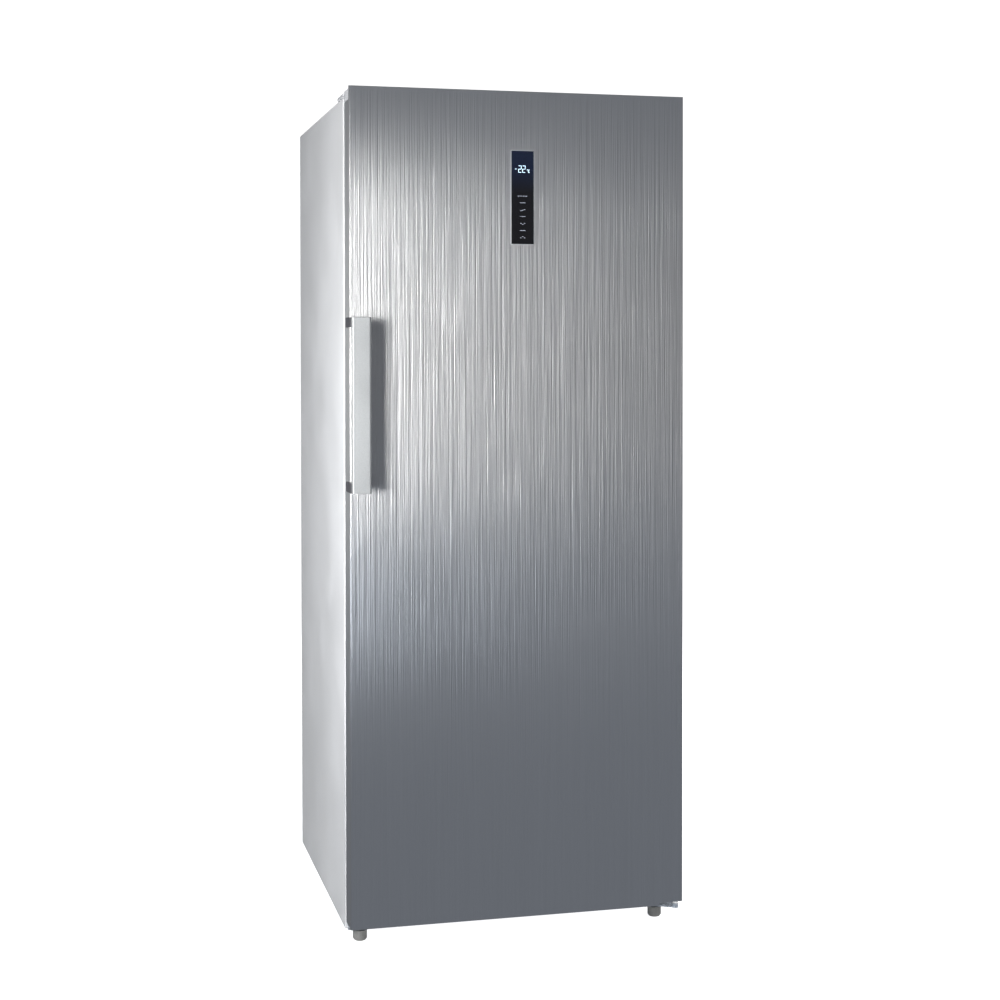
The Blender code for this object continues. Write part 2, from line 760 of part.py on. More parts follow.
def make_base_pan():
    """The galvanised floor of the cabinet, turned up at the front as the sill."""
    half = HALF - SHEET - GAP
    obj = box(
        "base_pan",
        (-half, FACE + SHEET + GAP, BASE),
        (half, REAR - COVER_SHEET - GAP, BASE + PAN_SHEET),
        FOLD_RADIUS,
        along="z",
    )
    sill = box(
        "pan_sill",
        (-HALF + FACE_FLANGE + GAP, FACE, BASE),
        (HALF - FACE_FLANGE - GAP, FACE + PAN_SHEET, SILL_TOP),
    )
    join(obj, sill)
    for side in (-1, 1):
        hole = cylinder(
            f"pan_foot_hole_{'l' if side < 0 else 'r'}",
            (side * FOOT_X, FOOT_Y, BASE),
            "z",
            STUD_RADIUS + 2 * GAP,
            PAST,
            sides=16,
        )
        cut(obj, hole)
    return paint(obj, "galvanised")


def foot_bracket(name, x_outer, x_inner, side):
    """A bent plate under the pan with the foot's hole, turned up against the sill."""
    x_low, x_high = sorted((side * x_outer, side * x_inner))
    obj = box(
        name,
        (x_low, FACE - GAP - BRACKET, BASE - GAP - BRACKET),
        (x_high, FACE + BRACKET_DEPTH, BASE - GAP),
    )
    upright = box(
        f"{name}_upright",
        (x_low, FACE - GAP - BRACKET, BASE - GAP - BRACKET),
        (x_high, FACE - GAP, LOWER_PLATE_TOP),
    )
    hole = cylinder(
        f"{name}_hole",
        (side * FOOT_X, FOOT_Y, BASE),
        "z",
        STUD_RADIUS + GAP,
        PAST,
        sides=24,
    )
    join(obj, upright)
    return obj, hole


def make_left_foot_bracket():
    obj, hole = foot_bracket("left_foot_bracket", HALF - BRACKET_INSET, HALF - BRACKET_WIDTH, -1)
    return paint(cut(obj, hole), "zinc")


def make_lower_hinge():
    """The lower bracket carries the right foot and, on its upper leaf, the hinge pin."""
    obj, hole = foot_bracket("lower_hinge_bracket", HALF - BRACKET_INSET, HALF - HINGE_BRACKET_WIDTH, 1)
    edge = PIN_COLLAR_RADIUS + LEAF_MARGIN
    outline = [
        (HALF - HINGE_BRACKET_WIDTH, FACE - GAP),
        (HALF - HINGE_BRACKET_WIDTH, FACE - GAP - BRACKET - LEAF_STEP),
        (HINGE_X - edge, HINGE_Y - edge * 0.4),
        (HINGE_X - edge * 0.4, HINGE_Y - edge),
        (HINGE_X + edge * 0.4, HINGE_Y - edge),
        (HINGE_X + edge * 0.7, HINGE_Y - edge * 0.4),
        (HINGE_X + edge * 0.7, FACE - GAP),
    ]
    leaf = plate("lower_hinge_leaf", outline, LOWER_PLATE_TOP - HINGE_PLATE, LOWER_PLATE_TOP)
    bore = cylinder(
        "lower_leaf_bore",
        (HINGE_X, HINGE_Y, LOWER_PLATE_TOP),
        "z",
        PIN_RADIUS + GAP,
        PAST,
    )
    join(obj, leaf)
    cut(obj, hole, bore)
    collar_top = CAP_LOW - BUSH_FLANGE - GAP
    profile = [
        (0.0, LOWER_PLATE_TOP + GAP + PIN_LENGTH),
        (PIN_RADIUS - PIN_CHAMFER, LOWER_PLATE_TOP + GAP + PIN_LENGTH),
        (PIN_RADIUS, LOWER_PLATE_TOP + GAP + PIN_LENGTH - PIN_END),
        (PIN_RADIUS, collar_top),
        (PIN_COLLAR_RADIUS, collar_top),
        (PIN_COLLAR_RADIUS, LOWER_PLATE_TOP + GAP),
        (PIN_RADIUS, LOWER_PLATE_TOP + GAP),
        (PIN_RADIUS, LOWER_PLATE_TOP - HINGE_PLATE - PIN_END),
        (0.0, LOWER_PLATE_TOP - HINGE_PLATE - PIN_END),
    ]
    pin = turned("lower_hinge_pin", profile, (HINGE_X, HINGE_Y, 0.0))
    return paint(obj, "zinc"), paint(pin, "zinc")


def make_upper_hinge():
    """A flat arm over the door's top cap, on a pedestal that stands on the cabinet."""
    reach = FACE + TRIM_DEPTH - HINGE_FOOT_SPACE - HINGE_Y
    half = HINGE_ARM / 2
    slant = half * math.sqrt(2)
    back = HINGE_Y + reach
    outline = [
        (HINGE_X + half * 0.71, HINGE_Y + half * 0.71),
        (HINGE_X + half, HINGE_Y),
        (HINGE_X + half * 0.71, HINGE_Y - half * 0.71),
        (HINGE_X, HINGE_Y - half),
        (HINGE_X - half * 0.71, HINGE_Y - half * 0.71),
        (HINGE_X - HINGE_DIAGONAL - slant, HINGE_Y + HINGE_DIAGONAL),
        (HINGE_X - HINGE_DIAGONAL - slant, back),
        (PEDESTAL_HIGH[0], back),
        (PEDESTAL_HIGH[0], HINGE_Y + HINGE_DIAGONAL + slant),
        (HINGE_X - HINGE_DIAGONAL, HINGE_Y + HINGE_DIAGONAL + slant),
    ]
    obj = plate("upper_hinge_bracket", outline, HINGE_PLATE_LOW, UPPER_PLATE_HIGH)
    pedestal = box(
        "upper_hinge_pedestal",
        (*PEDESTAL_LOW, TOP - TRIM_SEAT + GAP),
        (*PEDESTAL_HIGH, HINGE_PLATE_LOW + HINGE_PLATE / 2),
    )
    bore = cylinder(
        "upper_arm_bore",
        (HINGE_X, HINGE_Y, HINGE_PLATE_LOW),
        "z",
        PIN_RADIUS + GAP,
        PAST,
    )
    join(obj, pedestal)
    cut(obj, bore)
    pin = cylinder(
        "upper_hinge_pin",
        (HINGE_X, HINGE_Y, UPPER_PLATE_HIGH - PIN_LENGTH / 2),
        "z",
        PIN_RADIUS,
        PIN_LENGTH,
    )
    return paint(obj, "zinc"), paint(pin, "zinc")


# ---- Machine space -------------------------------------------------------


def make_machine_cover():
    """The rear cover of the machine space, with two fields of air slots."""
    half = HALF - SHEET - GAP
    low = BASE + PAN_SHEET + GAP
    obj = box(
        "machine_cover",
        (-half, REAR - COVER_SHEET, low),
        (half, REAR, MACHINE_TOP - GAP),
    )
    for row in range(VENT_ROWS):
        z = low + VENT_RISE + row * VENT_PITCH
        for number in range(4):
            inner, side = number // 2, number % 2 * 2 - 1
            end = side * (HALF - VENT_INSET - inner * VENT_STEP)
            x_low, x_high = sorted((end, end - side * VENT_LENGTH))
            slot = box(
                f"vent_{row}_{number}",
                (x_low, REAR - PAST, z),
                (x_high, REAR + PAST, z + VENT_HEIGHT),
            )
            cut(obj, slot)
    hole = cylinder(
        "gland_hole", (GLAND_X, REAR, GLAND_Z), "y", GLAND_RADIUS + GAP, PAST, sides=24
    )
    return paint(cut(obj, hole), "galvanised")


def make_cord_gland():
    """The strain relief in the rear cover, with its cord hole open and no cord."""
    flange = GLAND_RADIUS + GLAND_WALL
    bore = GLAND_RADIUS - GLAND_WALL
    inner_face = -COVER_SHEET - GAP
    profile = [
        (bore, 0.0),
        (GLAND_RADIUS, 0.0),
        (GLAND_RADIUS, inner_face),
        (flange, inner_face),
        (flange, inner_face - GLAND_FLANGE),
        (GLAND_RADIUS, inner_face - GLAND_FLANGE),
        (GLAND_RADIUS, -GLAND_LENGTH),
        (bore, -GLAND_LENGTH),
        (bore, 0.0),
    ]
    obj = turned("cord_gland", profile, (GLAND_X, REAR, GLAND_Z), "y", 24)
    return paint(obj, "dark_plastic")


def make_compressor():
    """A sealed steel pot on its mounting plate."""
    radius, height = COMPRESSOR_RADIUS, COMPRESSOR_HEIGHT
    foot = BASE + PAN_SHEET + GAP
    arcs = [
        (radius * math.sin(math.radians(a)), height - COMPRESSOR_DOME * (1 - math.cos(math.radians(a))))
        for a in range(0, 91, 15)
    ]
    seam = radius + SEAM_PROUD
    profile = [*arcs, (radius, SEAM_HIGH), (seam, SEAM_HIGH), (seam, SEAM_LOW)]
    profile += [(radius, SEAM_LOW), (radius * 0.9, 0.030), (radius * 0.6, 0.016), (0.0, 0.012)]
    obj = turned("compressor", profile, (COMPRESSOR_X, MACHINE_MIDDLE, foot), steps=36)
    base = box(
        "compressor_plate",
        (COMPRESSOR_X - PLATE_HALF[0], MACHINE_MIDDLE - PLATE_HALF[1], foot + PLATE_LOW),
        (COMPRESSOR_X + PLATE_HALF[0], MACHINE_MIDDLE + PLATE_HALF[1], foot + PLATE_HIGH),
        0.012,
        along="z",
    )
    join(obj, base)
    for number, (sx, sy) in enumerate(((-1, -1), (-1, 1), (1, -1), (1, 1))):
        mount = cylinder(
            f"compressor_mount_{number}",
            (COMPRESSOR_X + sx * MOUNT_X, MACHINE_MIDDLE + sy * MOUNT_Y, foot + PLATE_LOW),
            "z",
            0.011,
            0.016,
            sides=20,
        )
        join(obj, mount)
    relay = box(
        "relay_cover",
        (COMPRESSOR_X - radius - RELAY_HALF, MACHINE_MIDDLE - RELAY_HALF, foot + RELAY_LOW),
        (COMPRESSOR_X - radius * 0.8, MACHINE_MIDDLE + RELAY_HALF, foot + RELAY_HIGH),
        0.004,
    )
    clear = cylinder(
        "relay_clearance",
        (COMPRESSOR_X, MACHINE_MIDDLE, foot + 0.1),
        "z",
        radius + GAP,
        0.2,
        sides=36,
    )
    cut(relay, clear)
    return paint(obj, "black_enamel"), paint(relay, "dark_plastic")


def serpentine(passes, pitch, half_length, bend_points=4):
    """Points of a snake of parallel passes joined by half-circle bends, as (along, across)."""
    points = []
    radius = pitch / 2
    for index in range(passes):
        side = 1 if index % 2 == 0 else -1
        across = index * pitch
        points.append((-side * half_length, across))
        points.append((side * half_length, across))
        if index == passes - 1:
            break
        for bend in range(1, bend_points):
            angle = math.pi * bend / bend_points
            points.append(
                (side * (half_length + radius * math.sin(angle)),
                 across + radius * (1 - math.cos(angle)))
            )
    return points


def make_condenser():
    """A snake of tube across the machine space, with its ends left open to the pipework."""
    reach = (CONDENSER_RIGHT - CONDENSER_LEFT - CONDENSER_PITCH) / 2 - CONDENSER_TUBE
    snake = serpentine(CONDENSER_PASSES, CONDENSER_PITCH, reach)
    points = [
        (CONDENSER_X + along, MACHINE_MIDDLE, CONDENSER_LOW + across) for along, across in snake
    ]
    return paint(tube("condenser_coil", points, CONDENSER_TUBE), "black_enamel")


def fan_rotor(name, centre, axis):
    """A hub with pitched blades and, from behind, a bore for the motor's shaft."""
    hub = cylinder(name, (0, 0, 0), "z", FAN_HUB, FAN_DEPTH, sides=24)
    for number in range(FAN_BLADES):
        blade = box(
            f"{name}_blade_{number}",
            (FAN_HUB - BLADE_ROOT, -BLADE_HALF, -BLADE_THIN),
            (FAN_RADIUS, BLADE_HALF, BLADE_THIN),
        )
        pitch = Matrix.Rotation(math.radians(24), 4, "X")
        blade.data.transform(Matrix.Rotation(2 * math.pi * number / FAN_BLADES, 4, "Z") @ pitch)
        join(hub, blade)
    bore = cylinder(f"{name}_bore", (0, 0, 0.004), "z", FAN_SHAFT + GAP, FAN_DEPTH, sides=16)
    cut(hub, bore)
    for piece in [hub, *(step.object for step in hub.modifiers)]:
        piece.data.transform(turn_to(axis))
        piece.location = centre
    return paint(hub, "dark_plastic")


def span_box(name, centre, frame, low, high):
    """A box whose corners are measured from a centre along three named axes."""
    corners = []
    for measures in (low, high):
        corner = Vector(centre)
        for axis, measure in zip(frame, measures):
            corner["xyz".index(axis)] += measure
        corners.append(corner)
    return box(name, *corners)


def add_fan(holder, rotor_name, centre, frame, plate_offset):
    """Joins a motor on its strut and legs to the holder, and makes the rotor it turns."""
    label = rotor_name.removesuffix("_rotor")
    axis = frame[0]
    along = Vector(float(axis == letter) for letter in "xyz")
    back = FAN_DEPTH / 2 + FAN_RUNNING_GAP
    reach = FAN_RADIUS + STRUT_REACH
    strut = span_box(
        f"{label}_strut", centre, frame, (back, -reach, -STRUT_HALF), (back + STRUT, reach, STRUT_HALF)
    )
    join(holder, strut)
    for end in (-1, 1):
        inner, outer = sorted((end * (reach - STRUT_LEG), end * reach))
        leg = span_box(
            f"{label}_leg_{'a' if end < 0 else 'b'}",
            centre,
            frame,
            (plate_offset, inner, -STRUT_HALF),
            (back + STRUT - SHEET, outer, STRUT_HALF),
        )
        join(holder, leg)
    motor = cylinder(f"{label}_motor", centre + along * (back + MOTOR_SET), axis, MOTOR_RADIUS, MOTOR_LENGTH, 24)
    shaft = cylinder(
        f"{label}_shaft", centre + along * (back / 2), axis, FAN_SHAFT, back + 0.004, 12
    )
    join(holder, motor, shaft)
    fan_rotor(rotor_name, centre, axis)


def make_condenser_fan():
    """The plate beside the coil, with the fan in its round opening."""
    low = (SHROUD_X, MACHINE_FRONT + SHROUD_MARGIN, BASE + PAN_SHEET + GAP)
    high = (SHROUD_X + SHROUD, REAR - SHROUD_REAR_SPACE, MACHINE_TOP - SHROUD_MARGIN)
    centre = Vector((SHROUD_X + SHROUD / 2, MACHINE_MIDDLE, (low[2] + high[2]) / 2))
    obj = box("condenser_fan_shroud", low, high)
    opening = cylinder("shroud_opening", centre, "x", FAN_RADIUS + FAN_HOLE_CLEARANCE, PAST)
    cut(obj, opening)
    add_fan(obj, "condenser_fan_rotor", centre, "xzy", 0.0)
    return paint(obj, "dark_plastic")


def make_drain_tray():
    low = (CONDENSER_LEFT - TRAY_MARGIN, MACHINE_MIDDLE - TRAY_HALF, BASE + PAN_SHEET + GAP)
    high = (CONDENSER_RIGHT + TRAY_MARGIN, MACHINE_MIDDLE + TRAY_HALF, BASE + PAN_SHEET + TRAY_HEIGHT)
    obj = open_box("drain_tray", low, high, ((0, 0, 1),), 0.002, radius=0.006)
    return paint(obj, "dark_plastic")


def make_control_board():
    """The power board's closed box under the machine space's roof."""
    obj = box(
        "control_box",
        (CONDENSER_X - CONTROL_HALF, REAR - CONTROL_DEPTH, MACHINE_TOP - GAP - CONTROL_HEIGHT),
        (CONDENSER_X + CONTROL_HALF, REAR - CONTROL_REAR_SPACE, MACHINE_TOP - GAP),
        0.003,
    )
    return paint(obj, "dark_plastic")


# ---- Cold side -----------------------------------------------------------


def make_duct_panel():
    """The panel in front of the evaporator, with its fan opening, air slots and motor mount."""
    low = (-INSIDE + SHEET, DUCT_FRONT, STEP_TOP + SHEET)
    high = (INSIDE - SHEET, DUCT_FRONT + DUCT_PANEL, CEILING - SHEET)
    obj = box("air_duct_panel", low, high, LINER_RADIUS, along="y", segments=3)
    opening = cylinder(
        "duct_fan_opening", (0, DUCT_FRONT, COLD_FAN_Z), "y",
        FAN_RADIUS + FAN_HOLE_CLEARANCE, PAST,
    )
    cut(obj, opening)
    for row, z in enumerate(AIR_SLOT_LEVELS):
        for side in (-1, 1):
            middle = side * AIR_SLOT_X
            slot = box(
                f"duct_slot_{row}_{'l' if side < 0 else 'r'}",
                (middle - AIR_SLOT_HALF, DUCT_FRONT - PAST, z),
                (middle + AIR_SLOT_HALF, DUCT_FRONT + PAST, z + AIR_SLOT_HEIGHT),
            )
            cut(obj, slot)
    for number in (-1, 0, 1):
        z = COLD_FAN_Z + number * FAN_RADIUS / 2
        half = math.sqrt(FAN_RADIUS**2 - (z - COLD_FAN_Z) ** 2) + GUARD_LAP
        bar = box(
            f"duct_guard_{number + 1}",
            (-half, DUCT_FRONT + 0.0005, z - GUARD_HALF),
            (half, DUCT_FRONT + DUCT_PANEL - 0.0005, z + GUARD_HALF),
        )
        join(obj, bar)
    behind = FAN_DEPTH / 2 + DUCT_PANEL / 2 + 0.001
    centre = Vector((0, DUCT_FRONT + DUCT_PANEL / 2 + behind, COLD_FAN_Z))
    add_fan(obj, "evaporator_fan_rotor", centre, "yxz", -behind)
    return paint(obj, "white_plastic")


def make_evaporator():
    """A finned coil block: fins on a core, with a return bend at each end."""
    middle_y = DUCT_FRONT + DUCT_PANEL + (COIL_SPACE - DUCT_PANEL) / 2
    low_z = STEP_TOP + EVAPORATOR_RISE
    half_x, half_y, height = EVAPORATOR_HALF_X, EVAPORATOR_HALF_Y, EVAPORATOR_HEIGHT
    obj = box(
        "evaporator_coil",
        (-half_x, middle_y - half_y, low_z),
        (half_x, middle_y + half_y, low_z + height),
    )
    pitch = 2 * half_x / FIN_COUNT
    for number in range(FIN_COUNT):
        x = -half_x + pitch * (number + 0.5)
        for side in (-1, 1):
            y_low, y_high = sorted(
                (middle_y + side * half_y * 0.3, middle_y + side * (half_y + PAST))
            )
            gap = box(
                f"fin_gap_{number}_{'f' if side < 0 else 'b'}",
                (x - pitch * 0.4, y_low, low_z - PAST),
                (x + pitch * 0.4, y_high, low_z + height + PAST),
            )
            cut(obj, gap)
    for side in (-1, 1):
        bend = cylinder(
            f"coil_bend_{'l' if side < 0 else 'r'}",
            (side * half_x, middle_y, low_z + height / 2),
            "z",
            0.005,
            height * 0.8,
            sides=12,
        )
        join(obj, bend)
    return paint(obj, "raw_aluminium")


def make_shelves():
    """Glass plates, each in a frame that rests on the liner's ledges."""
    half = INSIDE - SHELF_SIDE_CLEARANCE
    front, rear = FACE + SHELF_FRONT, DUCT_FRONT - SHELF_REAR_SPACE
    for number, level in enumerate(SHELF_LEVELS, 1):
        top = level + SHELF_FRAME
        frame = box(
            f"shelf_frame_{number}", (-half, front, level), (half, rear, top), 0.004, along="z"
        )
        inset = SHELF_LIP - 0.002
        seat = box(
            f"shelf_seat_{number}",
            (-half + inset - GAP, front + inset - GAP, top - GLASS - GAP),
            (half - inset + GAP, rear - inset + GAP, top + PAST),
        )
        window = box(
            f"shelf_window_{number}",
            (-half + inset + SHELF_LIP, front + inset + SHELF_LIP, level - PAST),
            (half - inset - SHELF_LIP, rear - inset - SHELF_LIP, top + PAST),
        )
        paint(cut(frame, seat, window), "white_plastic")
        glass = box(
            f"shelf_glass_{number}",
            (-half + inset, front + inset, top - GLASS),
            (half - inset, rear - inset, top),
            0.0008,
        )
        paint(glass, "glass")


def make_lamp():
    obj = box(
        "lamp_lens",
        (-LAMP_WIDTH / 2, FACE + LAMP_SETBACK, CEILING - GAP - LAMP_HEIGHT),
        (LAMP_WIDTH / 2, FACE + LAMP_SETBACK + LAMP_DEPTH, CEILING - GAP),
        0.005,
        along="xyz",
    )
    return paint(obj, "clear_plastic")


def make_slide_out_bin():
    """A deep bin hung by its rim on two ledges, with a grip cut in its front wall."""
    half = INSIDE - LEDGE - BIN_SIDE_SPACE
    front, rear = FACE + BIN_FRONT, STEP_FRONT - LINER_RADIUS * 0.5
    low = FLOOR + BIN_RISE
    obj = open_box(
        "slide_out_bin",
        (-half, front, low),
        (half, rear, BIN_TOP),
        ((0, 0, 1),),
        BIN_WALL,
        radius=0.010,
    )
    rim_half = INSIDE - 0.003
    rim = box("bin_rim", (-rim_half, front, BIN_RIM_LOW), (rim_half, rear, BIN_TOP), 0.004, "z")
    hollow = box(
        "bin_rim_hollow",
        (-half + BIN_WALL, front + BIN_WALL, BIN_RIM_LOW - PAST),
        (half - BIN_WALL, rear - BIN_WALL, BIN_TOP + PAST),
        0.007,
        "z",
    )
    grip = box(
        "bin_grip",
        (-GRIP_HALF, front - PAST, BIN_TOP - GRIP_DEPTH),
        (GRIP_HALF, front + PAST, BIN_TOP + PAST),
        0.012,
        "y",
    )
    cut(rim, hollow)
    join(obj, rim)
    cut(obj, grip)
    return paint(obj, "clear_plastic")


# ---- Door ----------------------------------------------------------------


def make_door_skin():
    """Steel sheet round the front and sides, folded in behind, with its cut-outs."""
    back = DOOR_BACK - LINER - GAP
    path = [
        (-HALF + DOOR_RETURN, back, DOOR_LOW),
        (-HALF, back, DOOR_LOW),
        (-HALF, FRONT, DOOR_LOW),
        (HALF, FRONT, DOOR_LOW),
        (HALF, back, DOOR_LOW),
        (HALF - DOOR_RETURN, back, DOOR_LOW),
    ]
    obj = folded_sheet("door_skin", path, (0, 0, DOOR_HEIGHT), SHEET, 1.0, DOOR_SKIN_RADIUS)
    window = box(
        "skin_window",
        (DISPLAY_X - GAP, FRONT - PAST, DISPLAY_Z - GAP),
        (DISPLAY_X + DISPLAY_WIDTH + GAP, FRONT + PAST, DISPLAY_Z + DISPLAY_HEIGHT + GAP),
    )
    top_corner = box(
        "skin_top_cut",
        (-WIDTH, FRONT + SKIN_CORNER, DOOR_HIGH - CAP_DEPTH),
        (WIDTH, DOOR_BACK + PAST, DOOR_HIGH + PAST),
    )
    notch = box(
        "skin_hinge_notch",
        (HALF - HINGE_NOTCH, FRONT - PAST, DOOR_LOW - PAST),
        (HALF + PAST, DOOR_BACK + PAST, CAP_LOW),
    )
    return paint(cut(obj, window, top_corner, notch), "brushed_steel")


def hinge_bore(name, low, high, radius):
    return cylinder(
        name, (HINGE_X, HINGE_Y, (low + high) / 2), "z", radius, high - low, sides=32
    )


def hinge_boss(name, low, high, side):
    """A boss round the hinge axis that stops at the cap's own side and front."""
    limit = box(
        f"{name}_limit",
        (-side, FRONT + SHEET + GAP, low - PAST),
        (side, DOOR_BACK, high + PAST),
        DOOR_SKIN_RADIUS,
        along="z",
    )
    return combine(hinge_bore(name, low, high, BOSS_RADIUS), "INTERSECT", [limit])


def make_top_cap():
    """The tray that closes the door's top, with the upper bush's boss."""
    low, high = DOOR_HIGH - CAP_DEPTH + GAP, CAP_HIGH
    obj = box(
        "door_cap_top", (-HALF, FRONT + SKIN_CORNER + GAP, low), (HALF, CAP_BACK, high), 0.001
    )
    tongue = box(
        "cap_top_tongue",
        (-HALF + SHEET + 2 * GAP, FRONT + SHEET + GAP, low),
        (HALF - SHEET - 2 * GAP, FRONT + SKIN_CORNER + CAP_WALL, high),
        DOOR_SKIN_RADIUS,
        along="z",
    )
    hollow = box(
        "cap_top_hollow",
        (-HALF + CAP_INNER, FRONT + CAP_INNER, low - PAST),
        (HALF - CAP_INNER, CAP_BACK - CAP_WALL, high - CAP_WALL),
    )
    boss = hinge_boss("cap_top_boss", low, high - CAP_WALL / 2, HALF - SHEET - 2 * GAP)
    bore = hinge_bore("cap_top_bore", high - BUSH_DEPTH - GAP, high + PAST, BUSH_RADIUS + GAP)
    join(obj, tongue)
    cut(obj, hollow)
    join(obj, boss)
    cut(obj, bore)
    return paint(obj, "grey_plastic")


def make_bottom_cap():
    """The tray that closes the door's bottom inside the skin, with the lower bush's boss."""
    low, high = CAP_LOW, CAP_LOW + CAP_DEPTH
    side = HALF - SHEET - GAP
    obj = box(
        "door_cap_bottom",
        (-side, FRONT + SHEET + GAP, low),
        (side, SKIN_INNER_BACK, high),
        DOOR_SKIN_RADIUS,
        along="z",
    )
    hollow = box(
        "cap_bottom_hollow",
        (-HALF + CAP_INNER, FRONT + CAP_INNER, low + CAP_WALL),
        (HALF - CAP_INNER, SKIN_INNER_BACK - CAP_WALL, high + PAST),
    )
    boss = hinge_boss("cap_bottom_boss", low + CAP_WALL / 2, high, side)
    bore = hinge_bore("cap_bottom_bore", low - PAST, low + BUSH_DEPTH + GAP, BUSH_RADIUS + GAP)
    cut(obj, hollow)
    join(obj, boss)
    cut(obj, bore)
    return paint(obj, "grey_plastic")


def make_bushes():
    """A flanged bush in each cap, open to the pin that turns in it."""
    inner = PIN_RADIUS + BUSH_CLEARANCE
    lower = [
        (inner, CAP_LOW + BUSH_DEPTH),
        (BUSH_RADIUS, CAP_LOW + BUSH_DEPTH),
        (BUSH_RADIUS, CAP_LOW - GAP),
        (PIN_COLLAR_RADIUS, CAP_LOW - GAP),
        (PIN_COLLAR_RADIUS, CAP_LOW - BUSH_FLANGE),
        (inner, CAP_LOW - BUSH_FLANGE),
        (inner, CAP_LOW + BUSH_DEPTH),
    ]
    upper = [
        (inner, CAP_HIGH),
        (BUSH_RADIUS, CAP_HIGH),
        (BUSH_RADIUS, CAP_HIGH - BUSH_DEPTH),
        (inner, CAP_HIGH - BUSH_DEPTH),
        (inner, CAP_HIGH),
    ]
    place = (HINGE_X, HINGE_Y, 0.0)
    paint(turned("lower_hinge_bush", lower, place), "white_plastic")
    paint(turned("upper_hinge_bush", upper, place), "white_plastic")


def door_raise(name, grow):
    """The raised panel and the two bin rails behind the door, shrunk by a distance."""
    half = INSIDE - PANEL_CLEARANCE - grow
    obj = box(
        name,
        (-half, DOOR_BACK - 0.010, FLOOR + PANEL_CLEARANCE + grow),
        (half, DOOR_BACK + PANEL_RISE - grow, CEILING - PANEL_CLEARANCE - grow),
        LINER_RADIUS - grow,
        along="y",
        segments=3,
    )
    for side in (-1, 1):
        outer = INSIDE - PANEL_CLEARANCE - RAIL_INSET
        x_low, x_high = sorted((side * (outer - grow), side * (outer - RAIL_WIDTH + grow)))
        rail = box(
            f"{name}_rail_{'l' if side < 0 else 'r'}",
            (x_low, DOOR_BACK - 0.005, RAIL_LOW + grow),
            (x_high, DOOR_BACK + RAIL_RISE - grow, RAIL_HIGH - grow),
            0.008 - grow,
            along="y",
        )
        join(obj, rail)
    return obj


def make_door_liner():
    """The formed sheet behind the door: a flat border, a raised panel and two bin rails."""
    obj = box(
        "door_liner",
        (-HALF + SHEET, DOOR_BACK - LINER, CAP_LOW),
        (HALF - SHEET, DOOR_BACK, CAP_HIGH),
        0.004,
        along="y",
    )
    front = box(
        "door_liner_front_cut",
        (-WIDTH, DOOR_BACK - PAST, -PAST),
        (WIDTH, DOOR_BACK - LINER, DOOR_HIGH + PAST),
    )
    join(obj, door_raise("door_liner_raise", 0.0))
    cut(obj, front, door_raise("door_liner_hollow", LINER))
    return paint(obj, "white_plastic")


def make_door_foam():
    """The foam between the skin, the caps and the door liner."""
    side = HALF - CAP_INNER - GAP
    low, high = CAP_LOW + CAP_WALL + GAP, CAP_HIGH - CAP_WALL - GAP
    obj = box(
        "door_foam",
        (-side, FRONT + CAP_INNER + GAP, low),
        (side, SKIN_INNER_BACK - CAP_WALL - GAP, high),
        FOLD_RADIUS,
    )
    core = box(
        "foam_core",
        (-HALF + SHEET + 2 * GAP, FRONT + SHEET + GAP, CAP_LOW + CAP_DEPTH + GAP),
        (HALF - SHEET - 2 * GAP, SKIN_INNER_BACK, DOOR_HIGH - CAP_DEPTH - GAP),
        DOOR_SKIN_RADIUS,
    )
    inner = HALF - DOOR_RETURN - GAP
    middle = box(
        "foam_middle",
        (-inner, FRONT + 0.02, CAP_LOW + CAP_DEPTH + GAP),
        (inner, DOOR_BACK - LINER - GAP, DOOR_HIGH - CAP_DEPTH - GAP),
    )
    join(obj, core, middle, door_raise("foam_raise", LINER + GAP))
    display = box(
        "foam_display_pocket",
        (DISPLAY_X - GAP, FRONT - PAST, DISPLAY_Z - GAP),
        (
            DISPLAY_X + DISPLAY_WIDTH + GAP,
            FRONT + DISPLAY_DEPTH + GAP,
            DISPLAY_Z + DISPLAY_HEIGHT + GAP,
        ),
    )
    lower = hinge_bore("foam_lower_boss", DOOR_LOW, CAP_LOW + CAP_DEPTH + GAP, BOSS_RADIUS + GAP)
    upper = hinge_bore(
        "foam_upper_boss", DOOR_HIGH - CAP_DEPTH - GAP, DOOR_HIGH, BOSS_RADIUS + GAP
    )
    cut(obj, display, lower, upper)
    return paint(obj, "foam")


def make_seal():
    """The magnetic seal: a ring between the door liner and the cabinet's face."""
    outer = HALF - SEAL_INSET
    low, high = DOOR_LOW + SEAL_INSET, TOP - SEAL_INSET
    obj = box(
        "door_seal",
        (-outer, DOOR_BACK + GAP, low),
        (outer, FACE - GAP, high),
        0.006,
        along="y",
    )
    inside = box(
        "seal_inside",
        (-outer + SEAL_WIDTH, DOOR_BACK - PAST, low + SEAL_WIDTH),
        (outer - SEAL_WIDTH, FACE + PAST, high - SEAL_WIDTH),
        0.004,
        along="y",
    )
    return paint(cut(obj, inside), "rubber")


def make_door_bins():
    """Open trays held between the door's two rails."""
    half = INSIDE - PANEL_CLEARANCE - RAIL_INSET - RAIL_WIDTH - 0.001
    rear = DOOR_BACK + PANEL_RISE + GAP
    for number in range(DOOR_BIN_COUNT):
        low = BASE + LOWEST_DOOR_BIN + number * DOOR_BIN_PITCH
        obj = open_box(
            f"door_bin_{number + 1}",
            (-half, rear, low),
            (half, rear + DOOR_BIN_REACH, low + DOOR_BIN_HEIGHT),
            ((0, 0, 1),),
            DOOR_BIN_WALL,
            radius=0.008,
        )
        paint(obj, "clear_plastic")


